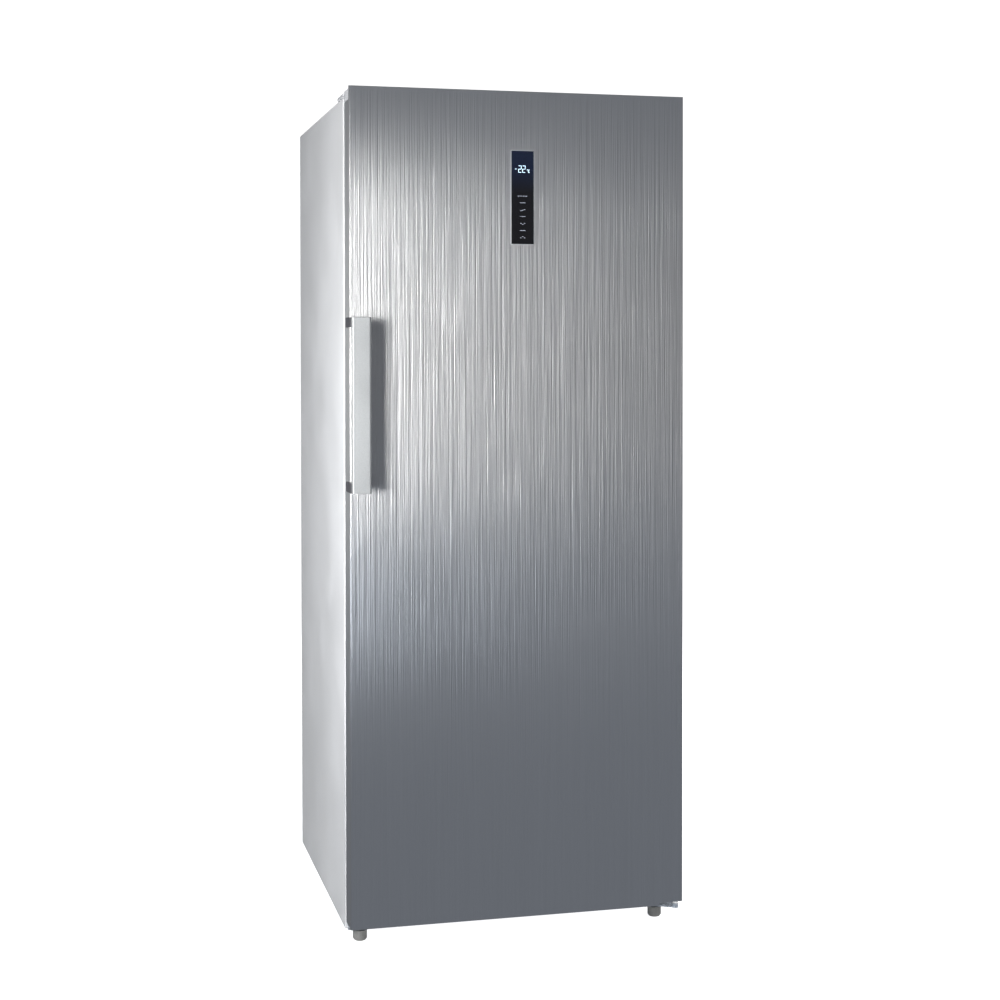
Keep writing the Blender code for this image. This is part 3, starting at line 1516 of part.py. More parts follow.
def make_handle():
    """A crowned bar on two arms that lap round the door's left side."""
    left = -HALF - HANDLE_OVERHANG
    bar_front = FRONT - HANDLE_REACH
    low = DOOR_LOW + HANDLE_BOTTOM
    right = left + HANDLE_WIDTH
    crown = HANDLE_CROWN
    outline = [
        (left, bar_front + HANDLE_BAR),
        (left, bar_front + crown * 2),
        (left + crown, bar_front + crown),
        (left + HANDLE_WIDTH * 0.4, bar_front),
        (right - HANDLE_CHAMFER, bar_front + crown),
        (right, bar_front + HANDLE_CHAMFER),
        (right, bar_front + HANDLE_BAR),
    ]
    bar = plate("handle_bar", outline, low, low + HANDLE_LENGTH)
    paint(bar, "satin_aluminium")
    for name, z in (("bottom", low), ("top", low + HANDLE_LENGTH - ARM_HEIGHT)):
        make_handle_arm(f"handle_arm_{name}", z)


def make_handle_arm(name, low):
    outer = -HALF - ARM_PLATE
    behind_bar = FRONT - HANDLE_REACH + HANDLE_BAR + GAP
    foot = box(
        name,
        (outer, behind_bar, low),
        (-HALF - HANDLE_OVERHANG + HANDLE_WIDTH - 0.004, behind_bar + ARM_FOOT, low + ARM_HEIGHT),
        0.001,
    )
    lap = box(
        f"{name}_lap",
        (outer, behind_bar + ARM_FOOT / 2, low),
        (-HALF - GAP, FRONT + ARM_LAP, low + ARM_HEIGHT),
        0.001,
    )
    join(foot, lap)
    return paint(foot, "dark_plastic")


def make_display():
    """A housing let into the skin, with a board at its back and a glossy window."""
    low = Vector((DISPLAY_X, FRONT - BEZEL_PROUD, DISPLAY_Z))
    high = Vector((DISPLAY_X + DISPLAY_WIDTH, FRONT + DISPLAY_DEPTH, DISPLAY_Z + DISPLAY_HEIGHT))
    housing = open_box("display_housing", low, high, ((0, -1, 0),), BEZEL_WALL)
    inner = BEZEL_WALL + GAP
    window = box(
        "display_window",
        (low.x + inner, low.y + GAP, low.z + inner),
        (high.x - inner, low.y + GAP + WINDOW, high.z - inner),
        0.0006,
        along="xz",
    )
    board = box(
        "display_board",
        (low.x + inner, low.y + BOARD_SETBACK, low.z + inner),
        (high.x - inner, low.y + BOARD_SETBACK + BOARD, high.z - inner),
    )
    paint(housing, "satin_aluminium")
    paint(window, "black_glass")
    paint(board, "circuit_board")


# ---- Feet and rollers ----------------------------------------------------


def make_foot(name, side):
    """A fluted knob with a threaded stud that screws up into its bracket."""
    profile = [
        (0.0, FOOT_HEIGHT + STUD_LENGTH),
        (STUD_RADIUS - FOOT_CHAMFER, FOOT_HEIGHT + STUD_LENGTH),
        (STUD_RADIUS, FOOT_HEIGHT + STUD_LENGTH - FOOT_CHAMFER),
        (STUD_RADIUS, FOOT_HEIGHT),
        (FOOT_RADIUS - FOOT_CHAMFER, FOOT_HEIGHT),
        (FOOT_RADIUS, FOOT_HEIGHT - FOOT_CHAMFER),
        (FOOT_RADIUS, FOOT_TOE_HEIGHT),
        (FOOT_RADIUS - FOOT_TOE, 0.0),
        (0.0, 0.0),
    ]
    obj = turned(name, profile, (side * FOOT_X, FOOT_Y, 0.0), steps=FOOT_FLUTES * 2)
    for number in range(FOOT_FLUTES):
        angle = 2 * math.pi * number / FOOT_FLUTES
        flute = cylinder(
            f"{name}_flute_{number}",
            (
                side * FOOT_X + FLUTE_CENTRE * math.cos(angle),
                FOOT_Y + FLUTE_CENTRE * math.sin(angle),
                FOOT_HEIGHT / 2 + FLUTE_RISE,
            ),
            "z",
            FLUTE_RADIUS,
            FOOT_HEIGHT,
            sides=8,
        )
        cut(obj, flute)
    return paint(obj, "dark_plastic")


def make_roller(side):
    """A rear roller on its axle between the two cheeks of a bracket."""
    label = "left" if side < 0 else "right"
    centre = Vector((side * (HALF - ROLLER_INSET), REAR - ROLLER_SETBACK, ROLLER_RADIUS))
    cheek = ROLLER_WIDTH / 2 + CHEEK_CLEARANCE
    bracket = box(
        f"{label}_roller_bracket",
        (centre.x - cheek - BRACKET, centre.y - CHEEK_HALF, CHEEK_LOW),
        (centre.x + cheek + BRACKET, centre.y + CHEEK_HALF, BASE - GAP),
    )
    slot = box(
        f"{label}_roller_slot",
        (centre.x - cheek, centre.y - PAST * 2, -PAST),
        (centre.x + cheek, centre.y + PAST * 2, BASE - GAP - PAN_SHEET),
    )
    bore = cylinder(f"{label}_cheek_bore", centre, "x", AXLE_RADIUS + GAP, 0.06, sides=16)
    axle = cylinder(
        f"{label}_roller_axle", centre, "x", AXLE_RADIUS, 2 * (cheek + BRACKET) + AXLE_PROUD, sides=16
    )
    half = ROLLER_WIDTH / 2
    inner = AXLE_RADIUS + ROLLER_CLEARANCE
    profile = [
        (inner, half),
        (ROLLER_RADIUS - FOOT_CHAMFER, half),
        (ROLLER_RADIUS, half - FOOT_CHAMFER),
        (ROLLER_RADIUS, -half + FOOT_CHAMFER),
        (ROLLER_RADIUS - FOOT_CHAMFER, -half),
        (inner, -half),
        (inner, half),
    ]
    roller = turned(f"{label}_rear_roller", profile, centre, "x")
    paint(cut(bracket, slot, bore), "zinc")
    paint(axle, "zinc")
    paint(roller, "dark_plastic")


def make_cabinet():
    make_wrap()
    make_back_panel()
    make_foam()
    make_liner()
    make_top_trim()
    make_hinge_cover()
    make_base_pan()
    make_left_foot_bracket()
    make_lower_hinge()
    make_upper_hinge()


def make_machinery():
    make_machine_cover()
    make_cord_gland()
    make_compressor()
    make_condenser()
    make_condenser_fan()
    make_drain_tray()
    make_control_board()


def make_inside():
    make_duct_panel()
    make_evaporator()
    make_shelves()
    make_lamp()
    on_joint("bin_slide", (0.0, FACE + BIN_FRONT, BIN_TOP), [make_slide_out_bin])


def make_door():
    makers = [
        make_door_skin,
        make_top_cap,
        make_bottom_cap,
        make_bushes,
        make_door_liner,
        make_door_foam,
        make_seal,
        make_door_bins,
        make_handle,
        make_display,
    ]
    on_joint("door_hinge", (HINGE_X, HINGE_Y, DOOR_LOW), makers)


def make_supports():
    for name, side in (("left_front_foot", -1), ("right_front_foot", 1)):
        make_foot(name, side)
    for side in (-1, 1):
        make_roller(side)


clear_scene()
PARTS = new_collection("upright_freezer")
TOOLS = new_collection("cutters")
make_cabinet()
make_machinery()
make_inside()
make_door()
make_supports()
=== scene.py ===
"""Upright freezer: the visible pieces, their finishes and the studio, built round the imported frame."""

import json
import math

import bmesh
import bpy
from bpy.props import FloatProperty, FloatVectorProperty, PointerProperty
from mathutils import Matrix, Vector

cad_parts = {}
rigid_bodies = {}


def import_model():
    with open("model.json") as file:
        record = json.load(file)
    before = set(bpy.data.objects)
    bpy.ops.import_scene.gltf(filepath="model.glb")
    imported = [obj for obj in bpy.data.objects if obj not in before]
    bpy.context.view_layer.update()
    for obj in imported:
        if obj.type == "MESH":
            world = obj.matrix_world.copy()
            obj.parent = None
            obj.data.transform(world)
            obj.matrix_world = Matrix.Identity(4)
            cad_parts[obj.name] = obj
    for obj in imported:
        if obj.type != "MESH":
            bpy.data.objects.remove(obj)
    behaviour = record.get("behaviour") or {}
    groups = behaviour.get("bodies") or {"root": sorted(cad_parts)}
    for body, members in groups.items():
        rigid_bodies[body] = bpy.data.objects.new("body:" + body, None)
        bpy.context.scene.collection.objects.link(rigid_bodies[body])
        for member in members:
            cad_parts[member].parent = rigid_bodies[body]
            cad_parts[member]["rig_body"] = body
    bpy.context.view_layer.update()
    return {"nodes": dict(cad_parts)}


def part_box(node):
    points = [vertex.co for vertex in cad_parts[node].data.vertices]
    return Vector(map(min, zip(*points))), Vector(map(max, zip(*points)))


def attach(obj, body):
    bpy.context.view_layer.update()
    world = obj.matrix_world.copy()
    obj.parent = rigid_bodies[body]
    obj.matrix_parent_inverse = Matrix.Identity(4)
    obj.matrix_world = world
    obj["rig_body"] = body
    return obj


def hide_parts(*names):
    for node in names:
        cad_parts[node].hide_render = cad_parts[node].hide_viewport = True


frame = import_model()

bl_info = {
    "name": "Upright Freezer",
    "version": (1, 0, 0),
    "blender": (4, 5, 0),
    "location": "View3D > Sidebar > Freezer",
    "description": "Models a single-door upright freezer round its packed frame",
    "category": "Object",
}

BODY_OF = {node: obj["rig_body"] for node, obj in frame["nodes"].items()}
SMOOTH = math.radians(40)  # edges flatter than this are shaded smooth
SHARP = math.radians(50)  # edges sharper than this are rounded
FLAT = math.radians(0.5)
SAME_POINT = 0.00001


# ---- Places read from the frame ------------------------------------------

SKIN_LOW, SKIN_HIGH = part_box("door_skin")
DUCT_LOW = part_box("air_duct_panel")[0]
WINDOW_LOW, WINDOW_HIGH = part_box("display_window")
HOUSING_LOW, HOUSING_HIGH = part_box("display_housing")
BAR_LOW, BAR_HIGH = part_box("handle_bar")
CAP_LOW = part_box("door_cap_top")[0]
BACK_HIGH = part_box("back_panel")[1]
COVER_LOW, COVER_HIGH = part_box("machine_cover")
SEAL_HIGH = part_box("door_seal")[1]
FAN_CENTRE = sum(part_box("evaporator_fan_rotor"), Vector()) / 2


# ---- Modelling steps -----------------------------------------------------


def pick_object(obj):
    """Makes this the only selected object, and the active one."""
    bpy.ops.object.select_all(action="DESELECT")
    obj.select_set(True)
    bpy.context.view_layer.objects.active = obj


def settle(obj):
    """Puts the object's place into its mesh."""
    pick_object(obj)
    bpy.ops.object.transform_apply(location=True, rotation=True, scale=True)
    return obj


def block(name, low, high):
    """A box between two corners, to be shaped further."""
    low, high = Vector(low), Vector(high)
    bpy.ops.object.select_all(action="DESELECT")
    bpy.ops.mesh.primitive_cube_add(size=1, location=(low + high) / 2)
    obj = bpy.context.object
    obj.name = obj.data.name = name
    obj.scale = high - low
    return settle(obj)


def rod(name, centre, axis, radius, length, sides=24):
    """A cylinder centred on a point, along x, y or z, to be shaped further."""
    turns = {"x": (0, math.pi / 2, 0), "y": (math.pi / 2, 0, 0), "z": (0, 0, 0)}
    bpy.ops.object.select_all(action="DESELECT")
    bpy.ops.mesh.primitive_cylinder_add(
        vertices=sides, radius=radius, depth=length, location=centre, rotation=turns[axis]
    )
    obj = bpy.context.object
    obj.name = obj.data.name = name
    return settle(obj)


def pick(obj, kind, test):
    """Goes into edit mode with only the items that pass the test selected."""
    pick_object(obj)
    bpy.ops.object.mode_set(mode="EDIT")
    bpy.ops.mesh.select_mode(type=kind)
    bpy.ops.mesh.select_all(action="DESELECT")
    mesh = bmesh.from_edit_mesh(obj.data)
    items = {"VERT": mesh.verts, "EDGE": mesh.edges, "FACE": mesh.faces}[kind]
    for item in items:
        if test(item):
            item.select_set(True)
    mesh.select_flush_mode()
    bmesh.update_edit_mesh(obj.data)


def leave_edit():
    bpy.ops.object.mode_set(mode="OBJECT")


def middle(item):
    """The centre of an edge or a face."""
    if isinstance(item, bmesh.types.BMEdge):
        return (item.verts[0].co + item.verts[1].co) / 2
    return item.calc_center_median()


def runs(axis):
    """A test for edges that run along x, y or z."""
    number = "xyz".index(axis)

    def test(edge):
        run = (edge.verts[1].co - edge.verts[0].co).normalized()
        return abs(run[number]) > 0.999

    return test


def faces_to(direction, limit=0.9):
    """A test for faces that look in a direction."""
    direction = Vector(direction)
    return lambda face: face.normal.dot(direction) > limit


def round_edges(obj, radius, segments=3, test=lambda edge: True):
    """Rounds the edges that pass the test."""
    pick(obj, "EDGE", test)
    bpy.ops.mesh.bevel(offset=radius, segments=segments, affect="EDGES", clamp_overlap=True)
    leave_edit()
    return obj


def open_faces(obj, *directions):
    """Removes the faces that look in the given directions."""
    tests = [faces_to(direction) for direction in directions]
    pick(obj, "FACE", lambda face: any(test(face) for test in tests))
    bpy.ops.mesh.delete(type="FACE")
    leave_edit()
    return obj


def inset(obj, test, thickness, depth=0.0):
    pick(obj, "FACE", test)
    bpy.ops.mesh.inset(thickness=thickness, depth=depth)
    leave_edit()
    return obj


def push_out(obj, direction, move):
    """Draws the faces that look in a direction out by a move, and stays in edit mode."""
    pick(obj, "FACE", faces_to(direction))
    bpy.ops.mesh.extrude_region_move(TRANSFORM_OT_translate={"value": move})


def apply_modifier(obj, kind, **settings):
    """Adds a modifier with these settings, and makes its result the mesh."""
    pick_object(obj)
    bpy.ops.object.modifier_add(type=kind)
    modifier = obj.modifiers[-1]
    for key, value in settings.items():
        setattr(modifier, key, value)
    bpy.ops.object.modifier_apply(modifier=modifier.name)
    return obj


def wall(obj, thickness):
    """Gives an open sheet its thickness, inwards."""
    return apply_modifier(obj, "SOLIDIFY", thickness=thickness, offset=-1.0, use_even_offset=True)


def cut_out(obj, *tools):
    """Cuts the tools out of the object, and removes them."""
    for tool in tools:
        apply_modifier(obj, "BOOLEAN", operation="DIFFERENCE", object=tool, solver="EXACT")
        bpy.data.objects.remove(tool)
    return obj


def copy_mesh(obj, name, matrix=None):
    """A separate copy with its own mesh, moved or turned by a matrix."""
    made = bpy.data.objects.new(name, obj.data.copy())
    bpy.context.scene.collection.objects.link(made)
    if matrix is not None:
        made.data.transform(matrix)
    return made


def merge(name, pieces):
    """Joins several meshes into one piece."""
    bpy.ops.object.select_all(action="DESELECT")
    for piece in pieces:
        piece.select_set(True)
    bpy.context.view_layer.objects.active = pieces[0]
    bpy.ops.object.join()
    made = bpy.context.object
    made.name = made.data.name = name
    return made


def smooth(obj):
    """Soft shading over rounded edges that leaves flat faces flat."""
    pick_object(obj)
    bpy.ops.object.shade_smooth_by_angle(angle=SMOOTH)
    return apply_modifier(obj, "WEIGHTED_NORMAL", keep_sharp=True)


def place(obj, body, finish, nodes=()):
    """Finishes a piece: shading, material, the body it rides on and the nodes it stands for."""
    smooth(obj)
    obj.data.materials.clear()
    obj.data.materials.append(FINISH[finish])
    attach(obj, body)
    if nodes:
        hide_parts(*nodes)
    return obj


def welded(node):
    """A copy of a CAD node with its triangles joined, all selected in edit mode."""
    obj = copy_mesh(frame["nodes"][node], f"{node}_made")
    pick(obj, "VERT", lambda vert: True)
    bpy.ops.mesh.remove_doubles(threshold=SAME_POINT)
    return obj


def softened(node, finish, radius, segments=2):
    """A copy of a CAD node with its flat triangles paired and its sharp edges rounded."""
    obj = welded(node)
    bpy.ops.mesh.tris_convert_to_quads(face_threshold=FLAT, shape_threshold=math.pi)
    leave_edit()
    pick_object(obj)
    if obj.data.has_custom_normals:
        bpy.ops.mesh.customdata_custom_splitnormals_clear()
    if radius:
        apply_modifier(
            obj,
            "BEVEL",
            width=radius,
            segments=segments,
            limit_method="ANGLE",
            angle_limit=SHARP,
            use_clamp_overlap=True,
            miter_outer="MITER_ARC",
        )
    return place(obj, BODY_OF[node], finish, [node])


SCREW_HEADS = {}
TOWARDS = {
    "-y": Matrix.Rotation(math.radians(90), 4, "X"),
    "+y": Matrix.Rotation(math.radians(-90), 4, "X"),
    "+z": Matrix.Identity(4),
}


def screw_head(sizes):
    """A pan head with a cross recess, standing on z = 0, for copying."""
    radius = sizes.screw_radius
    head = rod("screw_head", (0, 0, radius * 0.3), "z", radius, radius * 0.6)
    round_edges(head, radius * 0.35, 3, lambda e: middle(e).z > radius * 0.5)
    half = radius * 0.14
    reach = radius * 0.55
    for x, y in ((reach, half), (half, reach)):
        cut_out(head, block("recess", (-x, -y, radius * 0.3), (x, y, radius)))
    return head


def bolt_head(sizes):
    """A hexagon head on a round flange, standing on z = 0, for copying."""
    radius = sizes.bolt_radius
    head = rod("bolt_head", (0, 0, radius * 0.45), "z", radius, radius * 0.7, sides=6)
    round_edges(head, radius * 0.08, 2)
    flange = rod("bolt_flange", (0, 0, radius * 0.08), "z", radius * 1.25, radius * 0.16)
    round_edges(flange, radius * 0.05, 2)
    return merge("bolt_head", [head, flange])


def fasten(name, kind, points, towards, body, finish):
    """Puts a copy of one fastener at each point, with its head facing the given way."""
    pieces = []
    for number, point in enumerate(points):
        matrix = Matrix.Translation(point) @ TOWARDS[towards]
        pieces.append(copy_mesh(SCREW_HEADS[kind], f"{name}_{number}", matrix))
    return place(merge(name, pieces), body, finish)


def bar(name, low, high, radius, segments=3, test=lambda edge: True):
    """A block with rounded edges."""
    return round_edges(block(name, low, high), radius, segments, test)


# ---- Shader node groups --------------------------------------------------


def fill(tree, sockets, values):
    """Links each socket to an output, or sets its value."""
    for key, value in values.items():
        if isinstance(value, bpy.types.NodeSocket):
            tree.links.new(value, sockets[key])
        else:
            sockets[key].default_value = value


def add_node(tree, kind, inputs=None, **settings):
    made = tree.nodes.new(kind)
    for key, value in settings.items():
        setattr(made, key, value)
    fill(tree, made.inputs, inputs or {})
    return made


def math_node(tree, operation, *values):
    return add_node(
        tree, "ShaderNodeMath", dict(enumerate(values)), operation=operation
    ).outputs[0]


def noise_node(tree, vector, **inputs):
    return add_node(tree, "ShaderNodeTexNoise", {"Vector": vector, **inputs})


def new_group(name, inputs, *outputs):
    """An empty shader group that takes a Vector and these inputs, and its inner sockets."""
    tree = bpy.data.node_groups.new(name, "ShaderNodeTree")
    for label, value in {"Vector": (0, 0, 0), **inputs}.items():
        kind = "NodeSocketFloat" if isinstance(value, float) else "NodeSocketVector"
        socket = tree.interface.new_socket(name=label, in_out="INPUT", socket_type=kind)
        socket.default_value = value
    for label in outputs:
        tree.interface.new_socket(name=label, in_out="OUTPUT", socket_type="NodeSocketFloat")
    return tree, tree.nodes.new("NodeGroupInput").outputs, tree.nodes.new("NodeGroupOutput").inputs


def make_grain_group():
    """Noise drawn out by a different amount along each axis."""
    tree, enter, leave = new_group(
        "drawn_grain", {"Stretch": (1, 1, 1), "Detail": 3.0, "Spread": 0.25}, "Value"
    )
    scaled = add_node(
        tree,
        "ShaderNodeVectorMath",
        {0: enter["Vector"], 1: enter["Stretch"]},
        operation="MULTIPLY",
    )
    noise = noise_node(tree, scaled.outputs[0], Scale=1.0, Detail=enter["Detail"])
    low = math_node(tree, "SUBTRACT", 0.5, enter["Spread"])
    high = math_node(tree, "ADD", 0.5, enter["Spread"])
    shaped = add_node(
        tree, "ShaderNodeMapRange", {"Value": noise.outputs["Fac"], 1: low, 2: high}
    )
    tree.links.new(shaped.outputs[0], leave["Value"])
    return tree


# How many times a metre each layer of brush marks varies, with its spread.
FINE_MARKS = (520, 520, 4.6), 0.24
MEDIUM_MARKS = (190, 190, 1.9), 0.24
BROAD_MARKS = (38, 38, 0.6), 0.3


def make_streak_group(grain):
    """Brush marks: fine, medium and broad grain drawn out along z."""
    tree, enter, leave = new_group("brush_marks", {}, "Broad", "Mixed")
    fine, medium, broad = [
        add_node(
            tree,
            "ShaderNodeGroup",
            {"Vector": enter["Vector"], "Stretch": stretch, "Detail": 3.0, "Spread": spread},
            node_tree=grain,
        ).outputs["Value"]
        for stretch, spread in (FINE_MARKS, MEDIUM_MARKS, BROAD_MARKS)
    ]
    half = math_node(tree, "MULTIPLY", medium, 0.5)
    pair = math_node(tree, "MULTIPLY_ADD", fine, 0.5, half)
    fill(tree, leave, {"Broad": broad, "Mixed": pair})
    return tree


def make_spangle_group():
    """Crystals of zinc, each cell with a tone of its own, and a frost between them."""
    tree, enter, leave = new_group("zinc_spangle", {"Scale": 90.0}, "Tone", "Frost")
    warp = noise_node(tree, enter["Vector"], Scale=60.0)
    bent = add_node(
        tree,
        "ShaderNodeVectorMath",
        {0: warp.outputs["Color"], 1: (0.012, 0.012, 0.012), 2: enter["Vector"]},
        operation="MULTIPLY_ADD",
    )
    cells = add_node(
        tree, "ShaderNodeTexVoronoi", {"Vector": bent.outputs[0], "Scale": enter["Scale"]}
    )
    parts = add_node(tree, "ShaderNodeSeparateColor", {0: cells.outputs["Color"]})
    frost = noise_node(tree, enter["Vector"], Scale=900.0, Detail=2.0)
    fill(tree, leave, {"Tone": parts.outputs[0], "Frost": frost.outputs["Fac"]})
    return tree


def make_skin_group():
    """The fine texture of a moulded or sprayed surface, and the smears that handling leaves."""
    tree, enter, leave = new_group("surface_skin", {"Grain Scale": 600.0}, "Height", "Smear")
    grain = noise_node(tree, enter["Vector"], Scale=enter["Grain Scale"], Detail=2.0)
    smear = noise_node(tree, enter["Vector"], Scale=7.0, Detail=5.0, Distortion=0.6)
    even = add_node(
        tree, "ShaderNodeMapRange", {"Value": smear.outputs["Fac"], 1: 0.32, 2: 0.68}
    )
    fill(tree, leave, {"Height": grain.outputs["Fac"], "Smear": even.outputs[0]})
    return tree


# ---- Finishes ------------------------------------------------------------

FINISH = {}
GROUP = {}


def new_material(name):
    """A material, with the inputs of its shader and the place on its object."""
    material = bpy.data.materials.new(name)
    material.use_nodes = True
    tree = material.node_tree
    where = tree.nodes.new("ShaderNodeTexCoord").outputs["Object"]
    FINISH[name] = material
    return tree, tree.nodes["Principled BSDF"].inputs, where


def use_group(tree, name, where, inputs=None):
    """The outputs of a shared group, laid over the object."""
    return add_node(
        tree, "ShaderNodeGroup", {"Vector": where, **(inputs or {})}, node_tree=GROUP[name]
    ).outputs


def blend_colours(tree, factor, *ends):
    """Mixes two colours, or the outputs that hold them."""
    first, second = [
        end if isinstance(end, bpy.types.NodeSocket) else (*end, 1) for end in ends
    ]
    return add_node(
        tree, "ShaderNodeMix", {0: factor, 6: first, 7: second}, data_type="RGBA"
    ).outputs[2]


def between(tree, value, low, high):
    """Maps 0 to 1 onto low to high."""
    return add_node(tree, "ShaderNodeMapRange", {"Value": value, 3: low, 4: high}).outputs[0]


def raise_surface(tree, shader, height, strength, distance):
    bump = add_node(
        tree, "ShaderNodeBump", {"Height": height, "Strength": strength, "Distance": distance}
    )
    tree.links.new(bump.outputs[0], shader["Normal"])


def shade(colour, factor):
    return tuple(min(channel * factor, 1.0) for channel in colour)


def make_steel(colours):
    """Steel brushed upwards, which draws what it mirrors out sideways."""
    tree, shader, where = new_material("brushed_steel")
    marks = use_group(tree, "marks", where)
    steel = colours.steel
    tone = blend_colours(tree, marks["Mixed"], shade(steel, 0.97), shade(steel, 1.03))
    sheen = between(tree, marks["Broad"], 0.34, 0.37)
    upright = add_node(tree, "ShaderNodeCombineXYZ", {"Z": 1.0})
    geometry = add_node(tree, "ShaderNodeNewGeometry")
    across = add_node(
        tree,
        "ShaderNodeVectorMath",
        {0: upright.outputs[0], 1: geometry.outputs["Normal"]},
        operation="CROSS_PRODUCT",
    )
    fill(tree, shader, {"Base Color": tone, "Roughness": sheen, "Tangent": across.outputs[0]})
    fill(tree, shader, {"Metallic": 1.0, "Anisotropic": 0.84})
    raise_surface(tree, shader, marks["Mixed"], 1.0, 0.0009)


def make_moulded(
    name,
    colour,
    roughness,
    grain=600.0,
    lift=0.3,
    metallic=0.0,
    mottle="Smear",
    depth=0.05,
    specular=0.5,
):
    """A plain finish with the tone, sheen and fine texture varied over the surface."""
    tree, shader, where = new_material(name)
    skin = use_group(tree, "skin", where, {"Grain Scale": grain})
    tone = blend_colours(tree, skin[mottle], shade(colour, 1 - depth), shade(colour, 1 + depth))
    sheen = between(tree, skin["Smear"], roughness - 0.06, roughness + 0.06)
    fill(tree, shader, {"Base Color": tone, "Roughness": sheen})
    fill(tree, shader, {"Metallic": metallic, "Specular IOR Level": specular})
    raise_surface(tree, shader, skin["Height"], lift, 0.0002)


def make_galvanised(name, colour, scale, roughness, metallic):
    """Zinc-coated steel with its crystals."""
    tree, shader, where = new_material(name)
    spangle = use_group(tree, "spangle", where, {"Scale": scale})
    tone = blend_colours(tree, spangle["Tone"], shade(colour, 0.82), shade(colour, 1.1))
    sheen = between(tree, spangle["Tone"], roughness - 0.08, roughness + 0.1)
    fill(tree, shader, {"Base Color": tone, "Roughness": sheen, "Metallic": metallic})
    raise_surface(tree, shader, spangle["Frost"], 0.2, 0.0001)


def make_clear(name, colour, roughness, ior):
    """A see-through finish with a faint cast and soft smears."""
    tree, shader, where = new_material(name)
    skin = use_group(tree, "skin", where)
    tone = blend_colours(tree, skin["Smear"], shade(colour, 0.97), colour)
    sheen = between(tree, skin["Smear"], roughness, roughness + 0.06)
    fill(tree, shader, {"Base Color": tone, "Roughness": sheen})
    fill(tree, shader, {"IOR": ior, "Transmission Weight": 1.0})


def make_lit(name, colour, strength):
    """A lit segment, a little brighter in its middle; on the printed touch marks, a faint painted glow.
    """
    tree, shader, where = new_material(name)
    skin = use_group(tree, "skin", where, {"Grain Scale": 900.0})
    glow = blend_colours(tree, skin["Height"], shade(colour, 0.9), colour)
    fill(tree, shader, {"Emission Color": glow, "Base Color": glow, "Emission Strength": strength})


GLOW_DROP = 0.035  # the glow's brightest level below the window's top
GLOW_FADE = 0.05


def make_display_glass():
    """Black glass that glows a faint navy behind the digits."""
    tree, shader, where = new_material("display_glass")
    parts = add_node(tree, "ShaderNodeSeparateXYZ", {0: where})
    top = WINDOW_HIGH.z - GLOW_DROP
    glow = add_node(
        tree, "ShaderNodeMapRange", {"Value": parts.outputs["Z"], 1: top - GLOW_FADE, 2: top}
    )
    tone = blend_colours(tree, glow.outputs[0], (0.003, 0.003, 0.004), (0.003, 0.006, 0.018))
    sheen = between(tree, use_group(tree, "skin", where)["Smear"], 0.05, 0.12)
    fill(tree, shader, {"Base Color": tone, "Roughness": sheen})


def make_finishes(colours):
    """The shared groups first, then every finish that lies on them."""
    GROUP["grain"] = make_grain_group()
    GROUP["marks"] = make_streak_group(GROUP["grain"])
    GROUP["spangle"] = make_spangle_group()
    GROUP["skin"] = make_skin_group()
    make_steel(colours)
    make_moulded(
        "silver_paint", colours.paint, 0.45, grain=900.0, lift=0.12, metallic=0.1, specular=0.25
    )
    make_galvanised("galvanised", (0.56, 0.58, 0.60), 110.0, 0.42, 0.45)
    make_galvanised("zinc", (0.72, 0.77, 0.83), 260.0, 0.28, 0.8)
    make_moulded("white_liner", colours.liner, 0.32, grain=260.0, lift=0.08)
    make_moulded("grey_plastic", colours.trim, 0.45)
    make_moulded("dark_plastic", (0.035, 0.035, 0.04), 0.42)
    make_moulded("foot_plastic", (0.24, 0.24, 0.23), 0.4)
    make_moulded("circuit_board", (0.02, 0.14, 0.06), 0.4)
    make_moulded("black_enamel", (0.012, 0.012, 0.014), 0.3, lift=0.15)
    make_moulded("rubber", (0.36, 0.37, 0.38), 0.62, grain=350.0, lift=0.2)
    make_moulded("foam", (0.78, 0.70, 0.45), 0.9, grain=300.0, lift=0.8)
    make_moulded(
        "satin_aluminium", (0.50, 0.515, 0.52), 0.5, 420.0, 1.0, 0.8, mottle="Height", depth=0.12
    )
    make_moulded("bright_aluminium", (0.80, 0.82, 0.84), 0.22, 1500.0, 0.1, 1.0)
    make_moulded("silver_trim", (0.70, 0.72, 0.75), 0.35, 900.0, 0.1, 0.7)
    make_moulded("coil_aluminium", (0.72, 0.73, 0.75), 0.38, lift=0.2, metallic=1.0)
    make_clear("clear_plastic", (0.86, 0.93, 0.98), 0.12, 1.46)
    make_clear("shelf_glass", (0.80, 0.93, 0.89), 0.02, 1.52)
    make_display_glass()
    make_lit("lit_digits", (0.62, 0.84, 1.0), 1.7)
    # The touch marks are grey print given a faint painted glow.
    make_lit("print_with_painted_glow", (0.30, 0.33, 0.40), 0.10)


# ---- Pieces --------------------------------------------------------------

CLEAR = 0.0003  # room round a cut
BEYOND = 0.1  # how far a cutter runs past what it cuts
LIFT = 0.0001  # a detail's stand-off from the face behind it
DOOR_SHEET = 0.001
FOLD_WIDTH = 0.012  # steel folded in behind the door
CORNER_KEPT = 0.007  # steel kept in front of the top cap
NOTCH_WIDTH = 0.051
NOTCH_HEIGHT = 0.006


